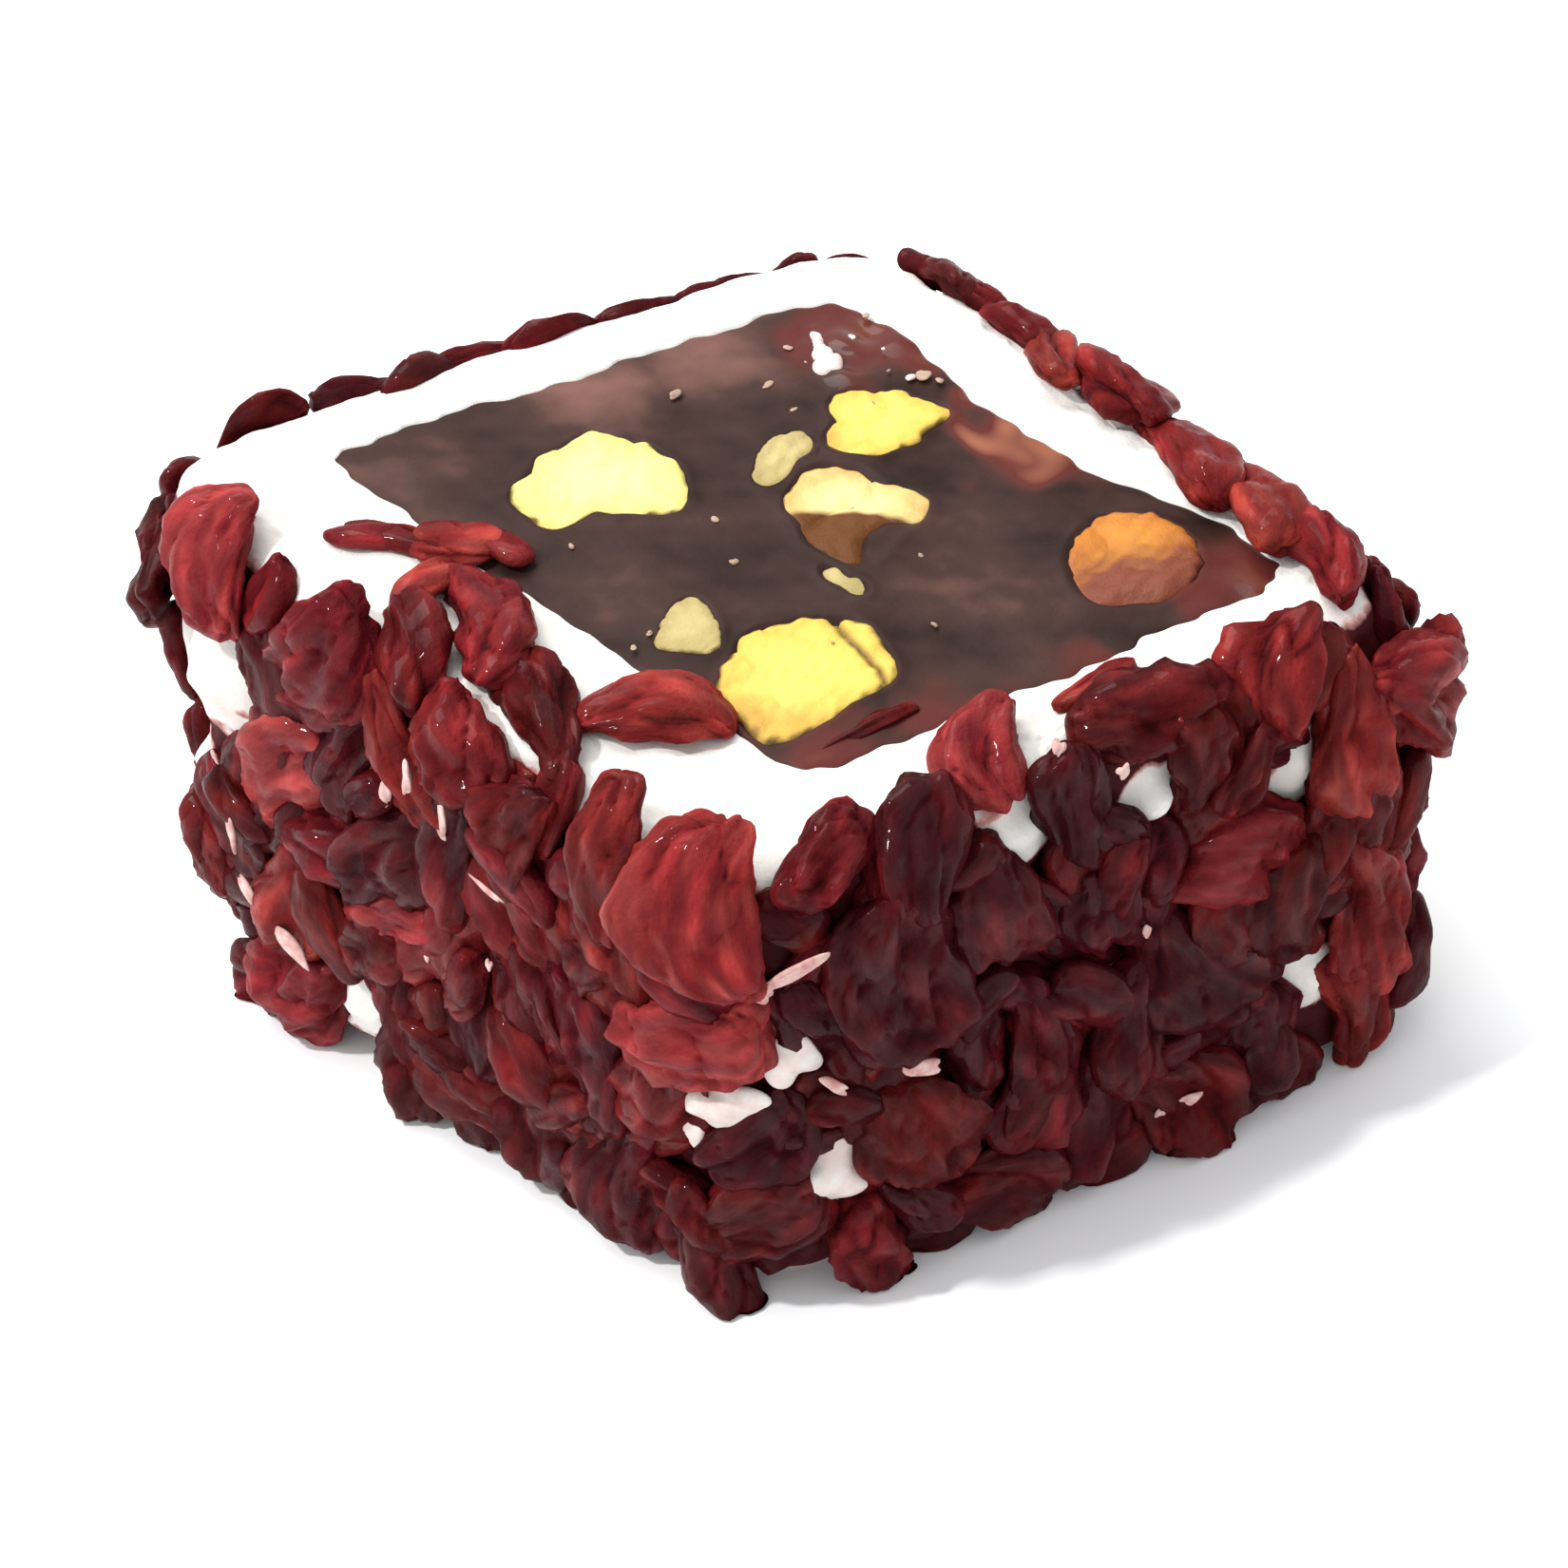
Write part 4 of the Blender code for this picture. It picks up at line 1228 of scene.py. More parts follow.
        # Olive of the kernels' edges and cracks: partly their skin, partly painted shade.
        olive = (0.085, 0.050, 0.012)
        looks = {look.tone: look.material() for look in (
            KernelFinish(KernelTone.PALE, (0.74, 0.65, 0.26), (0.68, 0.55, 0.16),
                         (0.60, 0.42, 0.10), olive, 0.42),
            KernelFinish(KernelTone.YELLOW, (0.72, 0.535, 0.118), (0.60, 0.40, 0.070),
                         (0.46, 0.26, 0.050), olive, 0.42),
            KernelFinish(KernelTone.GREENISH, (0.45, 0.365, 0.155), (0.34, 0.26, 0.10),
                         (0.28, 0.22, 0.08), (0.11, 0.070, 0.022), 0.45),
            KernelFinish(KernelTone.AMBER, (0.70, 0.58, 0.25), (0.50, 0.32, 0.10),
                         (0.105, 0.032, 0.004), (0.055, 0.020, 0.008), 0.26),
            KernelFinish(KernelTone.ORANGE, (0.56, 0.225, 0.030), (0.40, 0.13, 0.022),
                         (0.170, 0.044, 0.022), (0.085, 0.020, 0.012), 0.22))}
        for kernel, piece in zip(KERNELS, pieces):
            piece.data.materials.append(looks[kernel.tone])


@dataclass(frozen=True)
class Berry:
    """One dried barberry on the coat: place, sizes in mm, lean in degrees and redness."""

    turn: float
    level: float
    length: float
    width: float
    thickness: float
    spin: float
    lift: float
    tone: float


CHOSEN_BERRIES: tuple[Berry, ...] = tuple(Berry(*row) for row in (
    (-0.329, 0.951, 6.9, 5.8, 3.0, -7, 1.0, 0.90), (-0.286, 0.925, 8.4, 5.8, 3.2, 45, 1.2, 0.50),
    (-0.305, 0.629, 8.6, 5.6, 3.2, 41, 1.2, 0.97), (-0.314, 0.363, 9.2, 4.8, 2.8, 19, 1.1, 0.72),
    (-0.275, 0.785, 8.0, 4.2, 2.6, 20, 0.9, 0.15), (-0.263, 0.581, 9.0, 5.3, 3.0, 39, 1.2, 0.10),
    (-0.327, 0.122, 8.4, 5.6, 3.0, 61, 1.2, 0.70), (-0.372, 0.250, 8.6, 4.2, 2.6, 10, 1.3, 0.40),
    (-0.354, 0.060, 6.4, 4.0, 2.6, 30, 1.2, 0.40), (-0.258, 0.996, 6.8, 3.0, 2.6, -53, 0.8, 0.36),
    (-0.254, 1.090, 8.2, 4.2, 2.8, -58, 0.9, 0.60), (-0.225, 0.963, 6.8, 4.9, 3.0, -50, 1.1, 0.50),
    (-0.208, 1.025, 8.4, 3.2, 2.6, -65, 0.9, 0.25), (-0.200, 0.856, 8.6, 5.2, 2.8, 11, 1.1, 0.38),
    (-0.165, 0.949, 8.0, 3.8, 2.8, -12, 1.1, 0.50), (-0.233, 0.706, 8.4, 4.1, 2.6, 10, 0.9, 0.12),
    (-0.267, 0.264, 9.0, 4.2, 2.6, 3, 1.0, 0.36), (-0.237, 0.346, 8.8, 5.0, 2.6, -6, 1.0, 0.05),
    (-0.204, 0.508, 8.0, 5.0, 2.6, -20, 1.0, 0.20), (-0.180, 0.455, 9.0, 5.4, 2.8, -6, 1.1, 0.26),
    (-0.133, 0.950, 8.4, 7.2, 3.6, -8, 1.2, 0.80), (-0.139, 0.662, 8.4, 5.2, 3.2, 74, 1.3, 0.92),
    (-0.215, 0.142, 7.0, 5.6, 2.6, -1, 1.0, 0.12), (-0.173, 0.169, 7.9, 5.8, 2.8, 6, 1.0, 0.18),
    (-0.026, 1.006, 5.6, 4.4, 3.0, 33, 0.9, 0.97), (-0.060, 0.955, 6.8, 4.2, 2.8, 22, 1.1, 0.08),
    (-0.091, 0.985, 5.8, 4.0, 2.8, 55, 0.9, 0.42), (-0.072, 0.747, 9.6, 7.2, 3.6, -12, 1.4, 0.10),
    (-0.099, 0.681, 7.0, 3.2, 2.6, -23, 1.0, 0.04), (-0.036, 0.755, 6.7, 5.4, 3.0, -12, 1.1, 0.14),
    (-0.025, 0.371, 9.4, 4.4, 2.8, 10, 1.2, 0.32), (-0.069, 0.308, 9.0, 6.8, 3.4, -16, 1.4, 0.36),
    (-0.118, 0.437, 6.0, 4.8, 2.8, 39, 1.0, 0.02), (-0.123, 0.217, 7.2, 4.6, 2.8, 58, 1.2, 0.22),
    (-0.084, 0.083, 7.0, 3.6, 3.0, -13, 1.6, 0.45), (-0.037, 0.088, 6.7, 4.6, 2.8, -78, 1.2, 0.26),
    (0.030, 0.100, 7.8, 6.2, 3.2, -17, 1.3, 0.26), (0.027, 0.985, 7.8, 4.7, 3.2, -77, 1.1, 0.32),
    (-0.006, 0.915, 6.4, 3.9, 2.6, 0, 0.9, 0.06), (0.040, 0.870, 7.8, 5.2, 3.0, 10, 1.1, 0.34),
    (0.054, 0.622, 7.2, 5.9, 3.0, -48, 1.3, 0.59), (0.072, 0.968, 6.6, 4.4, 3.0, 38, 1.1, 0.59),
    (0.093, 0.800, 9.2, 4.2, 3.0, 4, 1.2, 0.74), (0.118, 0.820, 7.2, 5.8, 4.2, -49, 2.3, 0.54),
    (0.098, 0.379, 9.4, 4.7, 3.0, 6, 1.2, 0.66), (0.035, 0.415, 8.3, 6.6, 3.2, -39, 1.3, 0.04),
    (0.009, 0.354, 7.3, 4.6, 2.8, 5, 1.1, 0.12), (0.004, 0.675, 6.3, 4.6, 2.8, 5, 1.0, 0.10),
    (0.058, 0.165, 7.2, 4.6, 2.8, 10, 1.1, 0.16), (0.100, 0.140, 7.0, 3.6, 2.8, 0, 1.1, 0.62),
    (-0.045, 0.512, 7.0, 3.8, 2.6, 2, 0.8, 0.08), (0.253, 0.985, 7.2, 4.8, 2.8, -43, 0.9, 0.58),
    (0.210, 1.010, 8.0, 3.5, 2.4, -71, 0.9, 0.72), (0.173, 1.020, 7.5, 3.0, 2.4, -71, 0.9, 0.82),
    (0.141, 1.005, 7.0, 3.0, 2.4, -88, 0.9, 0.58),
))

FINE_BERRIES: tuple[Berry, ...] = tuple(Berry(*row) for row in (
    (-0.323, 1.150, 5.6, 1.7, 1.1, 62, 0.5, 0.45), (-0.326, 1.120, 4.4, 1.5, 1.0, 40, 0.5, 0.55),
    (-0.317, 1.215, 4.6, 3.4, 1.3, 48, 0.6, 0.86), (-0.316, 1.276, 3.6, 1.8, 1.0, -89, 0.6, 0.74),
    (-0.384, 0.610, 6.2, 3.2, 2.2, 8, 0.8, 0.20), (-0.387, 0.820, 5.4, 3.0, 2.0, -14, 0.7, 0.16),
    (-0.380, 0.440, 5.4, 3.0, 2.0, 18, 0.7, 0.30), (-0.285, 1.092, 4.6, 1.9, 1.4, -7, 0.9, 0.85),
    (-0.063, 1.180, 5.6, 1.3, 0.9, -90, 0.0, 0.35), (-0.174, 1.165, 7.4, 4.3, 2.5, 44, 0.9, 0.82),
    (-0.260, 0.484, 8.3, 2.1, 1.8, 67, 1.8, 0.85), (0.280, 0.999, 6.0, 2.6, 2.0, -50, 0.8, 0.90),
    (0.020, 0.719, 4.4, 3.4, 2.4, 27, 1.0, 0.12), (-0.239, 0.864, 5.1, 3.0, 1.6, 6, 0.8, 0.85),
    (0.026, 1.043, 4.7, 1.6, 1.4, 81, 0.5, 0.80), (0.350, 0.956, 3.0, 2.2, 1.4, 66, 0.6, 0.20),
    (0.337, 0.974, 3.9, 2.9, 1.7, 118, 0.7, 0.38), (0.321, 0.958, 3.4, 2.5, 1.5, 52, 0.7, 0.28),
    (0.305, 0.986, 4.6, 2.3, 1.7, 99, 0.8, 0.46), (0.008, 0.832, 3.6, 2.1, 1.7, -40, 1.5, 0.10),
))

BARE_SPOTS: tuple[Triple, ...] = (
    (-0.377, 1.00, 2.8), (-0.344, 0.69, 4.3), (-0.303, 0.14, 3.0), (-0.135, 0.47, 2.4), (-0.108, 0.64, 2.4),
    (-0.093, 0.28, 2.4), (-0.025, 0.89, 2.6), (0.022, 0.84, 2.2), (0.075, 0.76, 2.3), (0.081, 0.26, 2.4),
    (-0.124, 1.07, 2.8), (0.005, 1.03, 2.4), (0.143, 1.00, 2.4), (-0.050, 1.14, 2.6), (-0.365, 0.45, 2.2),
    (0.320, 0.55, 2.6), (0.430, 0.35, 2.6), (-0.440, 0.66, 2.6), (0.220, 0.24, 2.5), (0.360, 0.82, 2.5),
)

LOW_RIM_TURNS = (0.285, 0.315, 0.350, 0.385, 0.420, 0.455, 0.490, -0.475, -0.440, -0.410)


@dataclass(frozen=True)
class Scatter:
    """Random berries, with the range of each size in mm.

    Berries keep their spacing from the others, and from bare places their margin, which grows
    with their length by the reach.
    """

    seed: int
    places: int
    spacing: float
    level: Range
    length: Range
    width: Range
    thickness: Range
    spin_spread: float
    lift: Range
    margin: float = 0.0
    reach: float = 0.0

    def berries(self) -> Iterator[Berry]:
        """Draw the berries: turns a golden share apart, the rest at random.

        Yields:
            Each berry, with a tone from 0 to 1.
        """
        draw = random.Random(self.seed)
        for index in range(self.places):
            yield Berry(index * GOLDEN_SHARE % 1.0 - 0.5, draw.uniform(*self.level),
                        draw.uniform(*self.length), draw.uniform(*self.width),
                        draw.uniform(*self.thickness), draw.gauss(0, self.spin_spread),
                        draw.uniform(*self.lift), draw.random())


@dataclass(frozen=True)
class BerryShape:
    """Flattened spindles, creased like raisins, dented and bent: ranges of their random shares."""

    seed: int
    grid: tuple[int, int]
    bluntness: Range = (0.55, 0.85)
    taper: Range = (-0.30, 0.30)
    ridges: tuple[int, int] = (2, 5)
    twist: Range = (-0.9, 0.9)
    collapse: Range = (0.14, 0.40)
    dent: Range = (-0.10, 0.40)
    sway: Range = (-0.20, 0.20)
    droop: Range = (0.02, 0.18)
    wobble: float = 0.3
    ridge_power: float = 0.8
    lengthwise: float = 0.55
    skin_lengthwise: float = 0.32
    folds: Ripple = Ripple(31, 3.6, 8)
    fold_height: float = 0.44
    creases: Ripple = Ripple(32, 1.7, 8)
    crease_height: float = 0.26
    grains: Ripple = Ripple(33, 0.9, 8)
    grain_height: float = 0.05
    lumps: Ripple = Ripple(34, 5.5, 8)
    lump_height: float = 0.34
    crests: Ripple = Ripple(35, 2.8, 8)
    crest_height: float = 0.34
    whole_thickness: float = 3.0
    press_width: float = 0.27
    bend: float = 1.6
    fold_shade: Range = (1.0, 2.2)
    crease_shade: Range = (0.7, 1.8)

    def shapes(self, berries: Sequence[Berry]) -> tuple[Array, Array, Array]:
        """All berries at once.

        With the polar angle t down the berry and u round it, the spindle's radius is
        sin(t)^p * (1 + taper * cos(t)). It is collapsed between two to four twisting ridges by
        |sin(n * u / 2)|. The skin is pushed along the spindle's normal by the root of the size
        of two waves, rounded between sharp valleys, by the size of a third, sharp at its crests,
        and by a low lump. The outer side is pressed in along the middle, and the whole is bent
        by sin(t).

        Args:
            berries: The berries.

        Returns:
            Points in mm about each berry's middle, with axes of berry, row, column and X, Y, Z,
            paint of the same shape, and places on the skin, drawn together along the berry so
            that patterns there run lengthwise. The first and last row are the poles.
        """
        draw = np.random.default_rng(self.seed)
        count = len(berries)

        def each(low: float, high: float) -> Array:
            """One random number for each berry."""
            return draw.uniform(low, high, count)[:, None, None]

        length, width, thickness, tone = (
            np.array([getattr(berry, name) for berry in berries])[:, None, None]
            for name in ("length", "width", "thickness", "tone"))
        rows, columns = self.grid
        polar = np.linspace(0, np.pi, rows)[None, :, None]
        around = (np.arange(columns) / columns * 2 * np.pi)[None, None, :]
        sine, cosine = np.sin(polar), -np.cos(polar)
        plump = sine ** each(*self.bluntness) * (1 + each(*self.taper) * cosine)
        ridges = draw.integers(*self.ridges, count)[:, None, None]
        twisted = around + each(0, 6.28) + each(*self.twist) * cosine
        twisted = twisted + self.wobble * np.sin(2 * around + each(0, 6.28))
        between = np.abs(np.sin(ridges * twisted / 2)) ** self.ridge_power
        plump = plump * (1 + each(*self.collapse) * sine * (0.45 - between))
        base = np.stack([0.5 * width * plump * np.cos(around), 0.5 * thickness * plump * np.sin(around),
                         0.5 * length * cosine + 0 * around], axis=-1)
        half = np.stack([width, thickness, length], axis=-1) / 2
        normal = base / half ** 2 + 1e-6
        normal /= np.linalg.norm(normal, axis=-1, keepdims=True)
        offset = draw.uniform(0, 90, (count, 1, 1, 3))
        drawn_out = base * np.array([1.0, 1.0, self.lengthwise]) + offset
        fold = np.sqrt(np.abs(self.folds.at(drawn_out)))
        crease = np.sqrt(np.abs(self.creases.at(drawn_out)))
        crest = 0.5 - np.abs(self.crests.at(drawn_out + 17.0))
        lump = self.lumps.at(base + offset)
        swell = (self.fold_height * (fold - 0.72) + self.crease_height * (crease - 0.66)
                 + self.crest_height * crest + self.lump_height * lump)
        swell += self.grain_height * self.grains.at(base + offset)
        size = np.clip(thickness / self.whole_thickness, 0.35, 1.1)
        points = base + normal * (swell * size)[..., None]

        outer = 0.5 + 0.5 * np.sin(around)
        pressed = np.exp(-(points[..., 0] / (self.press_width * width)) ** 2) * sine ** 1.5 * outer
        points[..., 1] -= each(*self.dent) * pressed * thickness * 0.5
        points[..., 0] += each(*self.sway) * width * (sine - 0.6) * self.bend
        points[..., 1] -= each(*self.droop) * thickness * (1 - sine) * self.bend

        # Painted shade: the hollow paint darkens the folds, the creases, the troughs between crests, the
        # gaps between ridges and the side that faces the nougat.
        hollow = sum(np.clip(start - wave * slope, 0, 1) for wave, (start, slope) in
                     ((fold, self.fold_shade), (crease, self.crease_shade)))
        hollow = hollow + 0.5 * np.clip(-crest - 0.1, 0, 1) + 0.4 * np.clip(between - 0.7, 0, 1)
        hollow = np.clip(hollow + 0.6 * np.clip(-np.sin(around) - 0.2, 0, 1), 0, 1)
        redness = tone + 0.10 * lump + 0.10 * np.clip(crest, -0.5, 0.5)
        paint = np.stack([redness, hollow, each(0, 1) + 0 * fold], axis=-1)
        return points, paint, base * np.array([1.0, 1.0, self.skin_lengthwise]) + offset


@dataclass
class BarberryCoat:
    """Dried barberries pressed all over the nougat's outer wall."""

    form: SliceForm
    whole: Scatter = Scatter(20, 1400, 3.8, (0.06, 0.88), (6.2, 9.4), (3.8, 5.8), (2.1, 3.1), 38.0,
                             (0.45, 1.35))
    broken: Scatter = Scatter(77, 2600, 2.35, (0.04, 0.96), (3.8, 6.4), (2.2, 3.6), (1.5, 2.3), 50.0,
                              (0.1, 0.8), reach=0.30)
    small: Scatter = Scatter(78, 900, 5.4, (0.08, 0.86), (3.6, 6.2), (2.0, 3.3), (1.4, 2.1), 45.0,
                             (1.3, 2.0), margin=1.2)
    whole_shape: BerryShape = BerryShape(25, (32, 44))
    broken_shape: BerryShape = BerryShape(26, (16, 22))
    small_shape: BerryShape = BerryShape(27, (20, 28))
    lift_limit: float = 0.48
    low_rim_radii: Range = (6.0, 3.2)
    open_rim: int = 5
    edging_seed: int = 79
    edging_turns: Triple = (0.268, 0.446, 0.0125)
    edging_level: float = 0.900
    edging_rise: Triple = (0.030, 0.37, 0.02)
    tone_sides: tuple[Triple, ...] = ((-0.25, 0.16, 1.0), (0.25, 0.16, 0.8), (0.10, 0.05, 0.6))
    darkest: Range = (0.04, 0.22)
    reddest: Range = (0.40, 0.30)
    foot_shade: Triple = (0.46, 0.54, 0.65)
    red_from: float = 0.27
    bright_from: float = 0.60
    floor_clearance: float = 0.12

    def sow(self, scatter: Scatter, taken: list[Array], bare: list[tuple[Array, float]]) -> list[Berry]:
        """Berries of a scatter wherever there is room for them.

        Args:
            scatter: The scatter.
            taken: Places of the berries so far, to which the new ones are added.
            bare: Places to leave bare, with their radii.

        Returns:
            The berries.
        """
        berries = []
        for berry in scatter.berries():
            place = self.form.wall(berry.turn, berry.level)
            reach = scatter.margin + scatter.reach * (berry.length - scatter.length[0])
            gaps = np.linalg.norm(np.reshape(taken, (-1, 3)) - place, axis=1)
            if (gaps > scatter.spacing).all() and all(
                    np.linalg.norm(place - other) > radius + reach for other, radius in bare):
                berries.append(self.toned(berry))
                taken.append(place)
        return berries

    def choose(self) -> tuple[list[Berry], list[Berry], list[Berry]]:
        """Pick the berries as the solids do: the chosen ones, then wherever there is room.

        Returns:
            The berries of the solids, the broken ones between them and the small ones over them.
        """
        taken = [self.form.wall(berry.turn, berry.level) for berry in CHOSEN_BERRIES]
        bare = [(self.form.wall(turn, level), radius) for turn, level, radius in BARE_SPOTS]
        low_rim, free_rim = ([(self.form.wall(turn, 1.0), radius) for turn in LOW_RIM_TURNS]
                             for radius in self.low_rim_radii)
        berries = [*CHOSEN_BERRIES, *self.sow(self.whole, taken, bare + low_rim)]
        broken = self.sow(self.broken, taken, bare + free_rim[:self.open_rim])
        small = self.sow(self.small, [], bare + free_rim)
        return berries, broken, [*small, *self.edging(), *FINE_BERRIES]

    def edging(self) -> list[Berry]:
        """Small flat berries lying along the wall under the low rim at the left back corner.

        Returns:
            The berries.
        """
        draw = random.Random(self.edging_seed)
        edging = []
        rise, start, span = self.edging_rise
        for turn in np.arange(*self.edging_turns):
            level = self.edging_level + rise * min(max((turn - start) / span, 0.0), 1.0)
            berry = Berry(float(turn) + draw.uniform(-0.003, 0.003),
                          level + draw.uniform(-0.014, 0.010), draw.uniform(3.0, 4.4),
                          draw.uniform(1.8, 2.4), draw.uniform(1.1, 1.4), draw.gauss(90, 16),
                          draw.uniform(0.15, 0.45), draw.random())
            edging.append(self.toned(berry))
        return edging

    def toned(self, berry: Berry) -> Berry:
        """Redder on the front and back, darker on the right side, the left and at the foot.

        Args:
            berry: Berry whose tone is a plain draw from 0 to 1.

        Returns:
            The same berry with the tone of its side.
        """
        redder = min(sum(share * max(0.0, 1 - abs((berry.turn - side + 0.5) % 1.0 - 0.5) / span)
                         for side, span, share in self.tone_sides), 1.0)
        low, high = (least + more * redder for least, more in (self.darkest, self.reddest))
        least, more, full = self.foot_shade
        foot = least + more * min(berry.level / full, 1.0)
        return replace(berry, tone=(low + (high - low) * berry.tone) * foot)

    def posed(self, berries: Sequence[Berry], shape: BerryShape, lift_limit: float
              ) -> tuple[Array, Array, Array]:
        """Shape berries and move them to their places, kept clear of the floor.

        Args:
            berries: The berries.
            shape: Their shape.
            lift_limit: Largest lift, as a share of the thickness.

        Returns:
            Points in mm, paint and places on the skin, all of the same shape.
        """
        shapes, paint, skin = shape.shapes(berries)
        turn, level, spin, lift, thickness = (
            np.array([getattr(berry, name) for berry in berries])
            for name in ("turn", "level", "spin", "lift", "thickness"))
        middle, axes = self.form.laid(turn, level, spin, np.minimum(lift, lift_limit * thickness))
        points = np.einsum("brci,bij->brcj", shapes, axes) + middle[:, None, None, :]
        points[..., 2] = np.maximum(points[..., 2], self.floor_clearance)
        return points, paint, skin

    def build(self) -> list[Piece]:
        """Make one piece for each kind of berry.

        Returns:
            The pieces, in the order of the kinds.
        """
        berries, broken, small = self.choose()
        LOG.info("berries: %d, %d broken, %d small", len(berries), len(broken), len(small))
        posed = self.posed(berries, self.whole_shape, self.lift_limit)
        tones = np.array([berry.tone for berry in berries])
        chosen = (tones < self.red_from, (tones >= self.red_from) & (tones < self.bright_from),
                  tones >= self.bright_from)
        groups = [[values[mask] for values in posed] for mask in chosen]
        groups += [self.posed(broken, self.broken_shape, math.inf),
                   self.posed(small, self.small_shape, math.inf)]
        pieces = []
        for kind, group in zip(BerryKind, groups):
            piece = closed_piece(kind.value, self.form, True, *group)
            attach(piece, ROOT_BODY)
            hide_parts("nougat_wrap")
            pieces.append(piece)
        return pieces

    def dress(self, pieces: list[Piece]) -> None:
        """Give each kind its finish."""
        for piece, translucence in zip(pieces, (0.03, 0.08, 0.16, 0.08, 0.12)):
            piece.data.materials.append(BerryFinish(piece.name + "_skin", translucence).material())


@dataclass(frozen=True)
class Bits:
    """Many small lumpy ellipsoids joined in one mesh."""

    seed: int
    lumpiness: float
    lump_size: float
    grid: tuple[int, int]
    arms: float = 0.0

    def joined(self, name: str, form: SliceForm, middles: Array, axes: Array) -> Piece:
        """Make the piece.

        A unit ball is made uneven by a wave, drawn out in three directions round its second
        axis by 1 + arms * cos(3 * angle), then stretched and turned by each bit's own axes.

        Args:
            name: Name of the piece.
            form: Form of the slice.
            middles: Middle of each bit, in mm.
            axes: Three half axes of each bit, in mm, as rows.

        Returns:
            The piece.
        """
        draw = np.random.default_rng(self.seed)
        count, (rows, columns) = len(middles), self.grid
        polar = np.linspace(0, np.pi, rows)[None, :, None]
        around = (np.arange(columns) / columns * 2 * np.pi)[None, None, :]
        ball = np.stack([np.sin(polar) * np.cos(around), np.sin(polar) * np.sin(around),
                         np.cos(polar) + 0 * around], axis=-1) + np.zeros((count, 1, 1, 3))
        places = ball + draw.uniform(0, 50, (count, 1, 1, 3))
        ball = ball * (1 + self.lumpiness * Ripple(self.seed + 1, self.lump_size).at(places))[..., None]
        drawn_out = 1 + self.arms * np.cos(3 * np.arctan2(ball[..., 2], ball[..., 0]))
        ball = ball * np.stack([drawn_out, np.ones_like(drawn_out), drawn_out], axis=-1)
        points = np.einsum("brci,bij->brcj", ball, axes) + middles[:, None, None, :]
        piece = closed_piece(name, form, True, points)
        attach(piece, ROOT_BODY)
        return piece


@dataclass
class Crumbs:
    """Tiny bits of nut or sugar on the cut face, each chosen one with X, Y and size in mm."""

    form: SliceForm
    name: str
    scattered: int
    bits: Bits
    finish: SpeckFinish
    chosen: tuple[Triple, ...]
    size: Range = (0.12, 0.30)
    raised_by: float = 0.26

    def build(self) -> list[Piece]:
        """Make the one piece, with the chosen crumbs first.

        Returns:
            The piece, in a list.
        """
        draw = np.random.default_rng(self.bits.seed)
        turn = draw.uniform(-0.5, 0.5, self.scattered)
        scale = np.sqrt(draw.uniform(0.02, 0.90, self.scattered))
        chosen = np.array(self.chosen)
        places = np.concatenate([chosen[:, :2], self.form.jelly_edge(turn, 1.0, scale)])
        sizes = np.concatenate([chosen[:, 2], draw.uniform(*self.size, self.scattered)]) / 2
        stretch = draw.uniform(0.7, 1.5, (len(sizes), 3)) * np.array([1.0, 1.0, 0.5])
        axes = np.eye(3) * (sizes[:, None] * stretch)[:, None, :]
        middles = raised(places, self.form.top_height(places) + self.raised_by)
        piece = self.bits.joined(self.name, self.form, middles, axes)
        return [piece]

    def dress(self, pieces: list[Piece]) -> None:
        """Give the piece its finish."""
        pieces[0].data.materials.append(self.finish.material(self.name))


@dataclass
class NougatFlecks:
    """Bits of nougat between the berries, each with turn, level, lift, length, width and spin."""

    form: SliceForm
    name: str
    scattered: int
    bits: Bits
    finish: SpeckFinish
    chosen: tuple[tuple[float, ...], ...]

    def build(self) -> list[Piece]:
        """Make the one piece, with the chosen flecks first.

        Returns:
            The piece, in a list.
        """
        draw = np.random.default_rng(self.bits.seed)
        ranges = ((-0.5, 0.5), (0.1, 0.9), (1.0, 1.9), (0.6, 2.2), (0.3, 0.7))
        others = [draw.uniform(*limits, self.scattered) for limits in ranges]
        others.append(draw.normal(0, 50, self.scattered))
        turn, level, lift, length, width, spin = np.concatenate(
            [np.array(self.chosen), np.stack(others, axis=-1)]).T
        middle, axes = self.form.laid(turn, level, spin, lift)
        halves = np.stack([width / 2, width / 4, length / 2], axis=-1)
        piece = self.bits.joined(self.name, self.form, middle, axes * halves[..., None])
        return [piece]

    def dress(self, pieces: list[Piece]) -> None:
        """Give the piece its finish."""
        pieces[0].data.materials.append(self.finish.material(self.name))


# Pale bits on the jelly: the bar and its foot near the left back corner are sugar bits laid in the shape of
# a glint, partly sugar and partly a painted highlight; the last three are sugar specks.
SUGAR_AND_GLINT_BITS: tuple[Triple, ...] = (
    (-10.9, 9.36, 0.66), (-10.6, 9.26, 0.72), (-10.3, 9.16, 0.78), (-10.0, 9.05, 0.82), (-9.7, 8.94, 0.86),
    (-9.4, 8.82, 0.94), (-9.1, 8.66, 0.94), (-8.9, 8.42, 0.82), (-8.8, 8.15, 0.56), (-8.75, 8.84, 0.76),
    (-9.8, 10.7, 0.26), (-8.2, 11.4, 0.24), (-5.7, 11.2, 0.34),
)

NUT_BITS: tuple[Triple, ...] = (
    (-11.5, 1.8, 0.50), (-9.4, 5.6, 0.50), (-0.1, -2.5, 0.42), (-11.0, 7.9, 0.36), (-3.0, -1.6, 0.36),
    (-5.4, 11.8, 0.50), (-4.7, 12.2, 0.38), (-10.6, 12.1, 0.42),
)

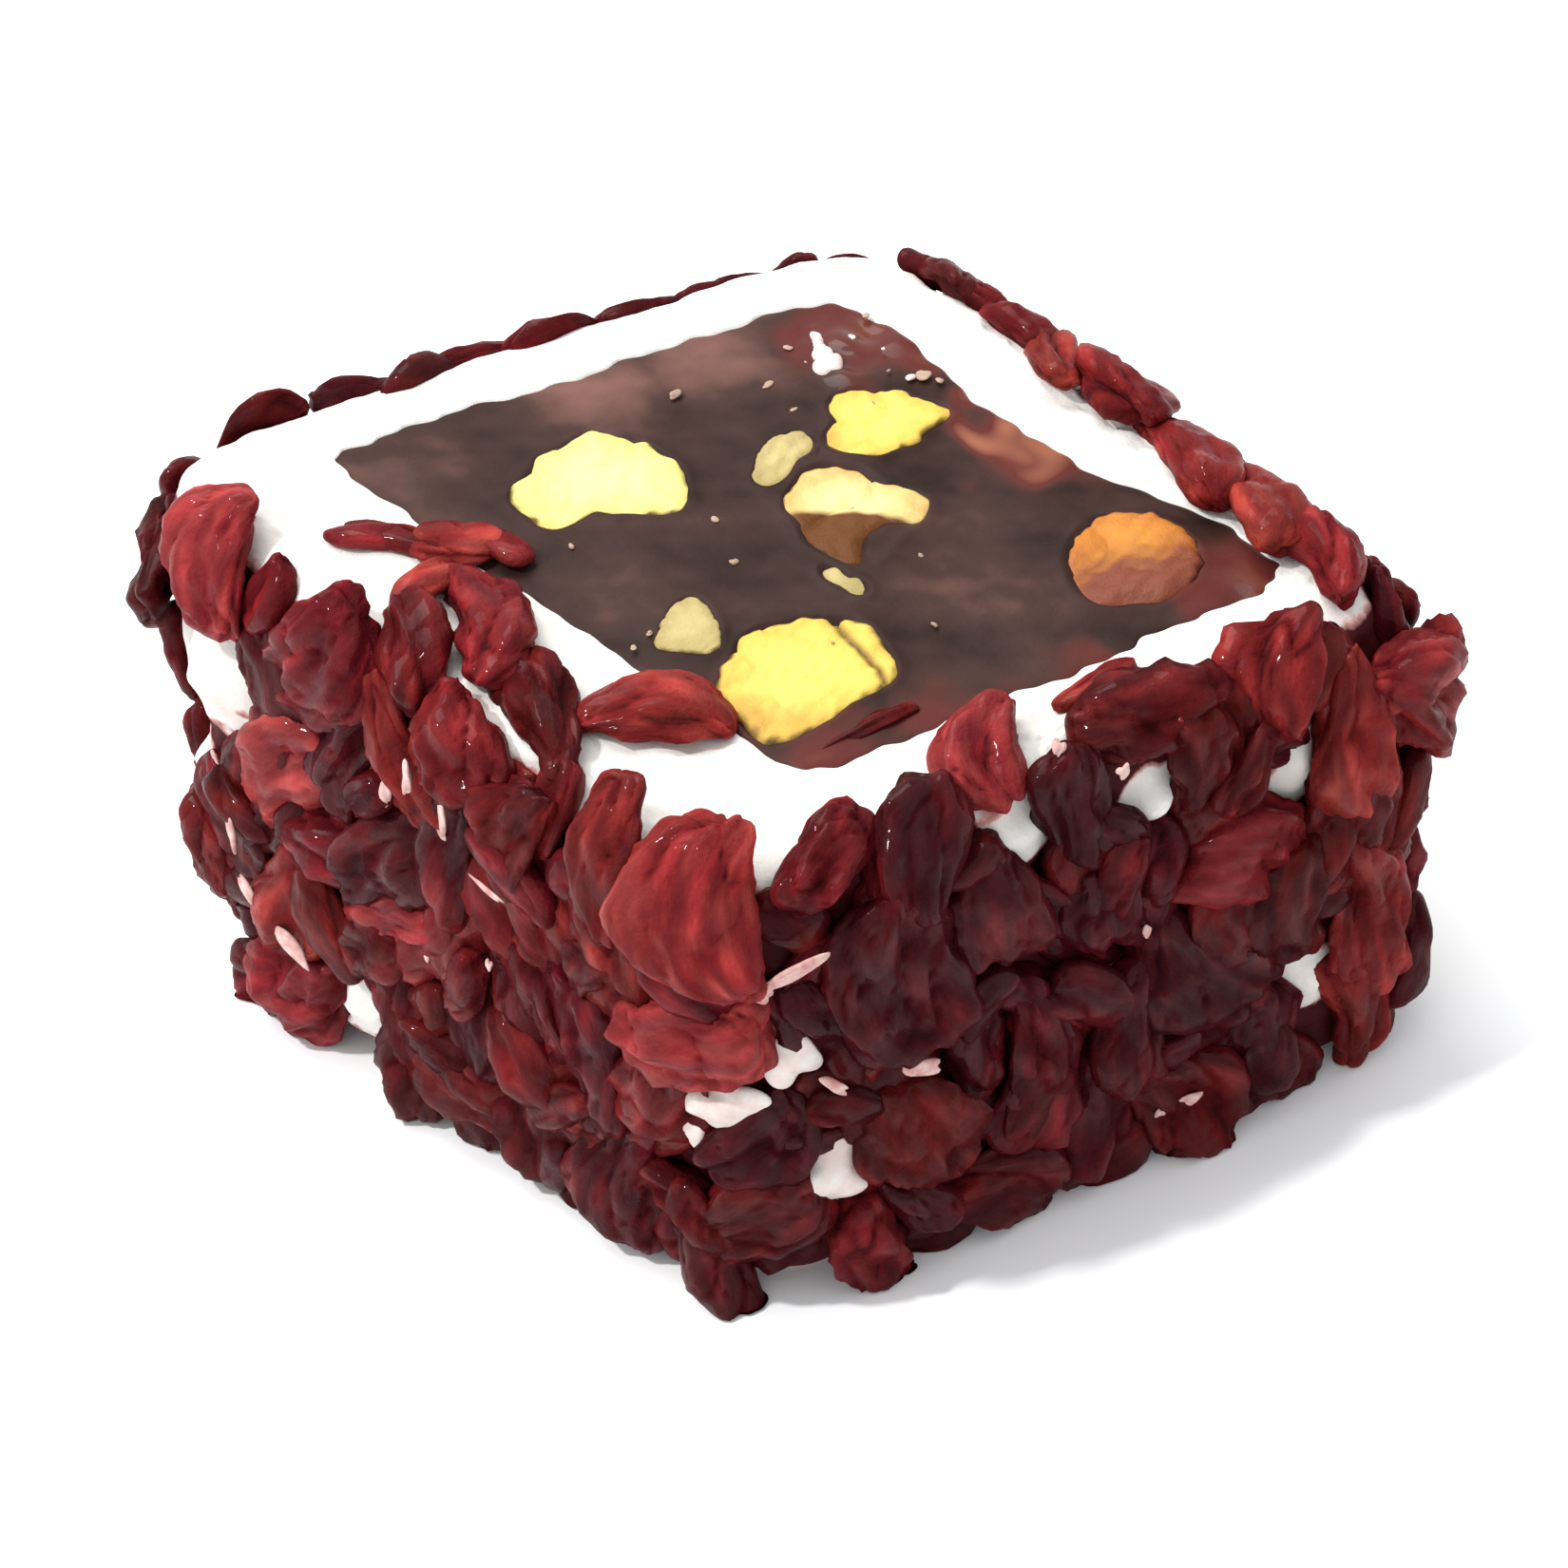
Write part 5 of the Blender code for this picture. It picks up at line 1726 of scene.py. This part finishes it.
FLECKS: tuple[tuple[float, ...], ...] = (
    (-0.069, 0.534, 2.3, 2.0, 0.8, 117), (0.032, 0.143, 1.9, 1.3, 0.5, 84),
    (0.020, 0.145, 1.9, 0.6, 0.5, 0), (-0.107, 0.874, 2.6, 3.0, 0.7, 76), (-0.115, 0.836, 2.6, 1.0, 0.9, 0),
    (-0.097, 0.573, 2.3, 1.8, 0.6, 140), (-0.253, 0.790, 1.9, 1.4, 0.7, 4),
    (-0.332, 0.440, 2.3, 2.2, 0.7, 0), (-0.330, 0.330, 2.4, 2.2, 0.7, -40),
    (-0.311, 0.275, 2.5, 2.2, 0.8, -54), (-0.236, 0.895, 2.7, 1.6, 0.6, 5),
    (-0.222, 0.870, 2.7, 1.8, 0.5, 0), (-0.208, 0.760, 2.4, 2.2, 0.3, 100),
    (-0.285, 0.355, 1.9, 1.7, 0.5, -58), (0.043, 0.700, 2.2, 0.7, 0.5, 0),
    (0.012, 0.610, 2.2, 0.6, 0.5, 20), (-0.132, 0.890, 2.8, 0.6, 0.5, 0),
    (-0.215, 0.560, 2.0, 0.9, 0.4, 12), (-0.245, 0.480, 2.0, 1.0, 0.4, -15),
    (-0.010, 0.985, 2.3, 0.9, 0.5, 40), (0.006, 0.950, 2.3, 0.8, 0.5, 60),
)

PATCHES: tuple[tuple[float, ...], ...] = (
    (-0.110, 0.635, 1.1, 3.4, 2.5, -12), (-0.130, 0.508, 1.0, 4.0, 2.4, 84),
    (-0.142, 0.430, 1.0, 2.8, 1.8, 10), (-0.097, 0.315, 1.1, 3.7, 3.2, 46),
)


@dataclass
class Studio:
    """Pale floor, soft light and the photograph's camera."""

    form: SliceForm
    focal_px: float = 1600.0
    middle_px: float = 825.0
    aim_px: Range = (566.0, 958.0)
    camera_mm: Triple = (231.9, -128.0, 250.0)
    pitch_down: float = 38.1
    heading: float = 49.0
    frame_width_px: float = 340.0
    closeness: float = 1.0245
    sensor_mm: float = 36.0
    floor_half: float = 1.2
    floor_steps: int = 41
    floor_gap: float = 0.00002
    left: Triple = (-0.656, -0.755, 0.0)
    rear: Triple = (-0.755, 0.656, 0.0)
    light_aim: Triple = (0.0, 0.0, 0.012)

    def camera(self) -> None:
        """Camera at the photograph's place, turned on the slice with no shift and least roll."""
        data = bpy.data.cameras.new("photo_camera")
        data.sensor_width = self.sensor_mm
        data.lens = self.sensor_mm * self.focal_px * self.closeness / self.frame_width_px
        data.clip_start = 0.01
        camera = linked("photo_camera", data)
        pose = (Matrix.Rotation(math.radians(self.heading), 4, "Z")
                @ Matrix.Rotation(math.radians(90 - self.pitch_down), 4, "X"))
        ray = Vector((self.aim_px[0] - self.middle_px, self.middle_px - self.aim_px[1], -self.focal_px))
        aim = pose.to_3x3() @ ray.normalized()
        forward = pose.to_3x3() @ Vector((0, 0, -1))
        turn = forward.rotation_difference(aim).to_matrix().to_4x4()
        place = Vector(self.camera_mm) + Vector((*self.form.shift, 0.0))
        camera.matrix_world = Matrix.Translation(place * MM) @ turn @ pose
        bpy.context.scene.camera = camera

    def floor(self) -> None:
        """Large pale floor just under the slice."""
        line = np.linspace(-self.floor_half, self.floor_half, self.floor_steps)
        spot = np.stack(np.meshgrid(line, line), axis=-1).reshape(-1, 2)
        row, column = np.mgrid[:self.floor_steps - 1, :self.floor_steps - 1]
        start = (row * self.floor_steps + column).ravel()
        after = start + self.floor_steps
        floor = make_piece("floor", raised(spot, -self.floor_gap),
                           np.stack([start, start + 1, after + 1, after], axis=-1),
                           np.empty((0, 3), int))
        make = Material("pale_floor")
        mottle, _ = make.grain(6.0, 300.0)
        colour = make.blend(mottle, (0.93, 0.935, 0.945), (0.95, 0.95, 0.95))
        floor.data.materials.append(make.finished(None, Base_Color=colour, Roughness=0.6))

    def lamp(self, name: str, place: Vector, size: float, watts: float, colour: Colour) -> None:
        """Soft square light that faces the slice.

        Args:
            name: Name of the light.
            place: Where it stands, in metres.
            size: Side of the square, in metres.
            watts: Power.
            colour: Colour of the light.
        """
        data = bpy.data.lights.new(name, "AREA")
        data.size = size
        data.energy = watts
        data.color = colour
        light = linked(name, data)
        light.location = place
        light.rotation_euler = (Vector(self.light_aim) - place).to_track_quat("-Z", "Y").to_euler()

    def light(self) -> None:
        """Pale surroundings, a large soft key from the upper left rear and a small glint."""
        world = bpy.data.worlds.new("studio")
        world.use_nodes = True
        background = world.node_tree.nodes["Background"]
        background.inputs["Color"].default_value = (0.97, 0.985, 1.0, 1.0)
        background.inputs["Strength"].default_value = 1.05
        bpy.context.scene.world = world
        left, rear, up = Vector(self.left), Vector(self.rear), Vector((0.0, 0.0, 1.0))
        self.lamp("key", left * 0.18 + rear * 0.20 + up * 0.56, 0.40, 3.0, (1.0, 0.985, 0.96))
        self.lamp("glint", left * 0.25 - rear * 0.10 + up * 0.42, 0.03, 1.5, (1.0, 1.0, 1.0))
        bpy.context.scene.view_settings.view_transform = "Standard"


def main() -> None:
    """Build every piece in order and report it."""
    logging.basicConfig(level=logging.INFO, format="%(message)s")
    form = SliceForm()
    parts = (
        NougatWrap(form), JellyCore(form), Pistachios(form), BarberryCoat(form),
        Crumbs(form, "crumbs", 16, Bits(91, 0.35, 2.2, (12, 18)),
               SpeckFinish((0.42, 0.30, 0.22), (0.26, 0.17, 0.13), 900.0, 0.5, 0.00006), NUT_BITS),
        # Sugar specks, and a painted highlight made of pale bits near the left back corner.
        Crumbs(form, "sugar_and_glint_bits", 0, Bits(92, 0.22, 2.2, (12, 18)),
               SpeckFinish((0.76, 0.68, 0.66), (0.60, 0.42, 0.40), 900.0, 0.5, 0.00006), SUGAR_AND_GLINT_BITS),
        NougatFlecks(form, "nougat_flecks", 26, Bits(95, 0.40, 1.7, (12, 18)),
                     SpeckFinish((0.66, 0.48, 0.44), (0.40, 0.16, 0.15), 1200.0, 0.6, 0.00008), FLECKS),
        # The patches are a little greyer than the nougat's cream, as painted shade, and mottled with pink
        # stain.
        NougatFlecks(form, "nougat_patches", 0, Bits(96, 0.20, 1.5, (24, 36), 0.16),
                     SpeckFinish((0.72, 0.68, 0.64), (0.64, 0.50, 0.46), 1200.0, 0.6, 0.00008), PATCHES))
    for part in parts:
        pieces = part.build()
        part.dress(pieces)
        for piece in pieces:
            LOG.info("%s: %d vertices", piece.name, len(piece.data.vertices))
    studio = Studio(form)
    studio.floor()
    studio.light()
    studio.camera()


if __name__ == "__main__":
    main()
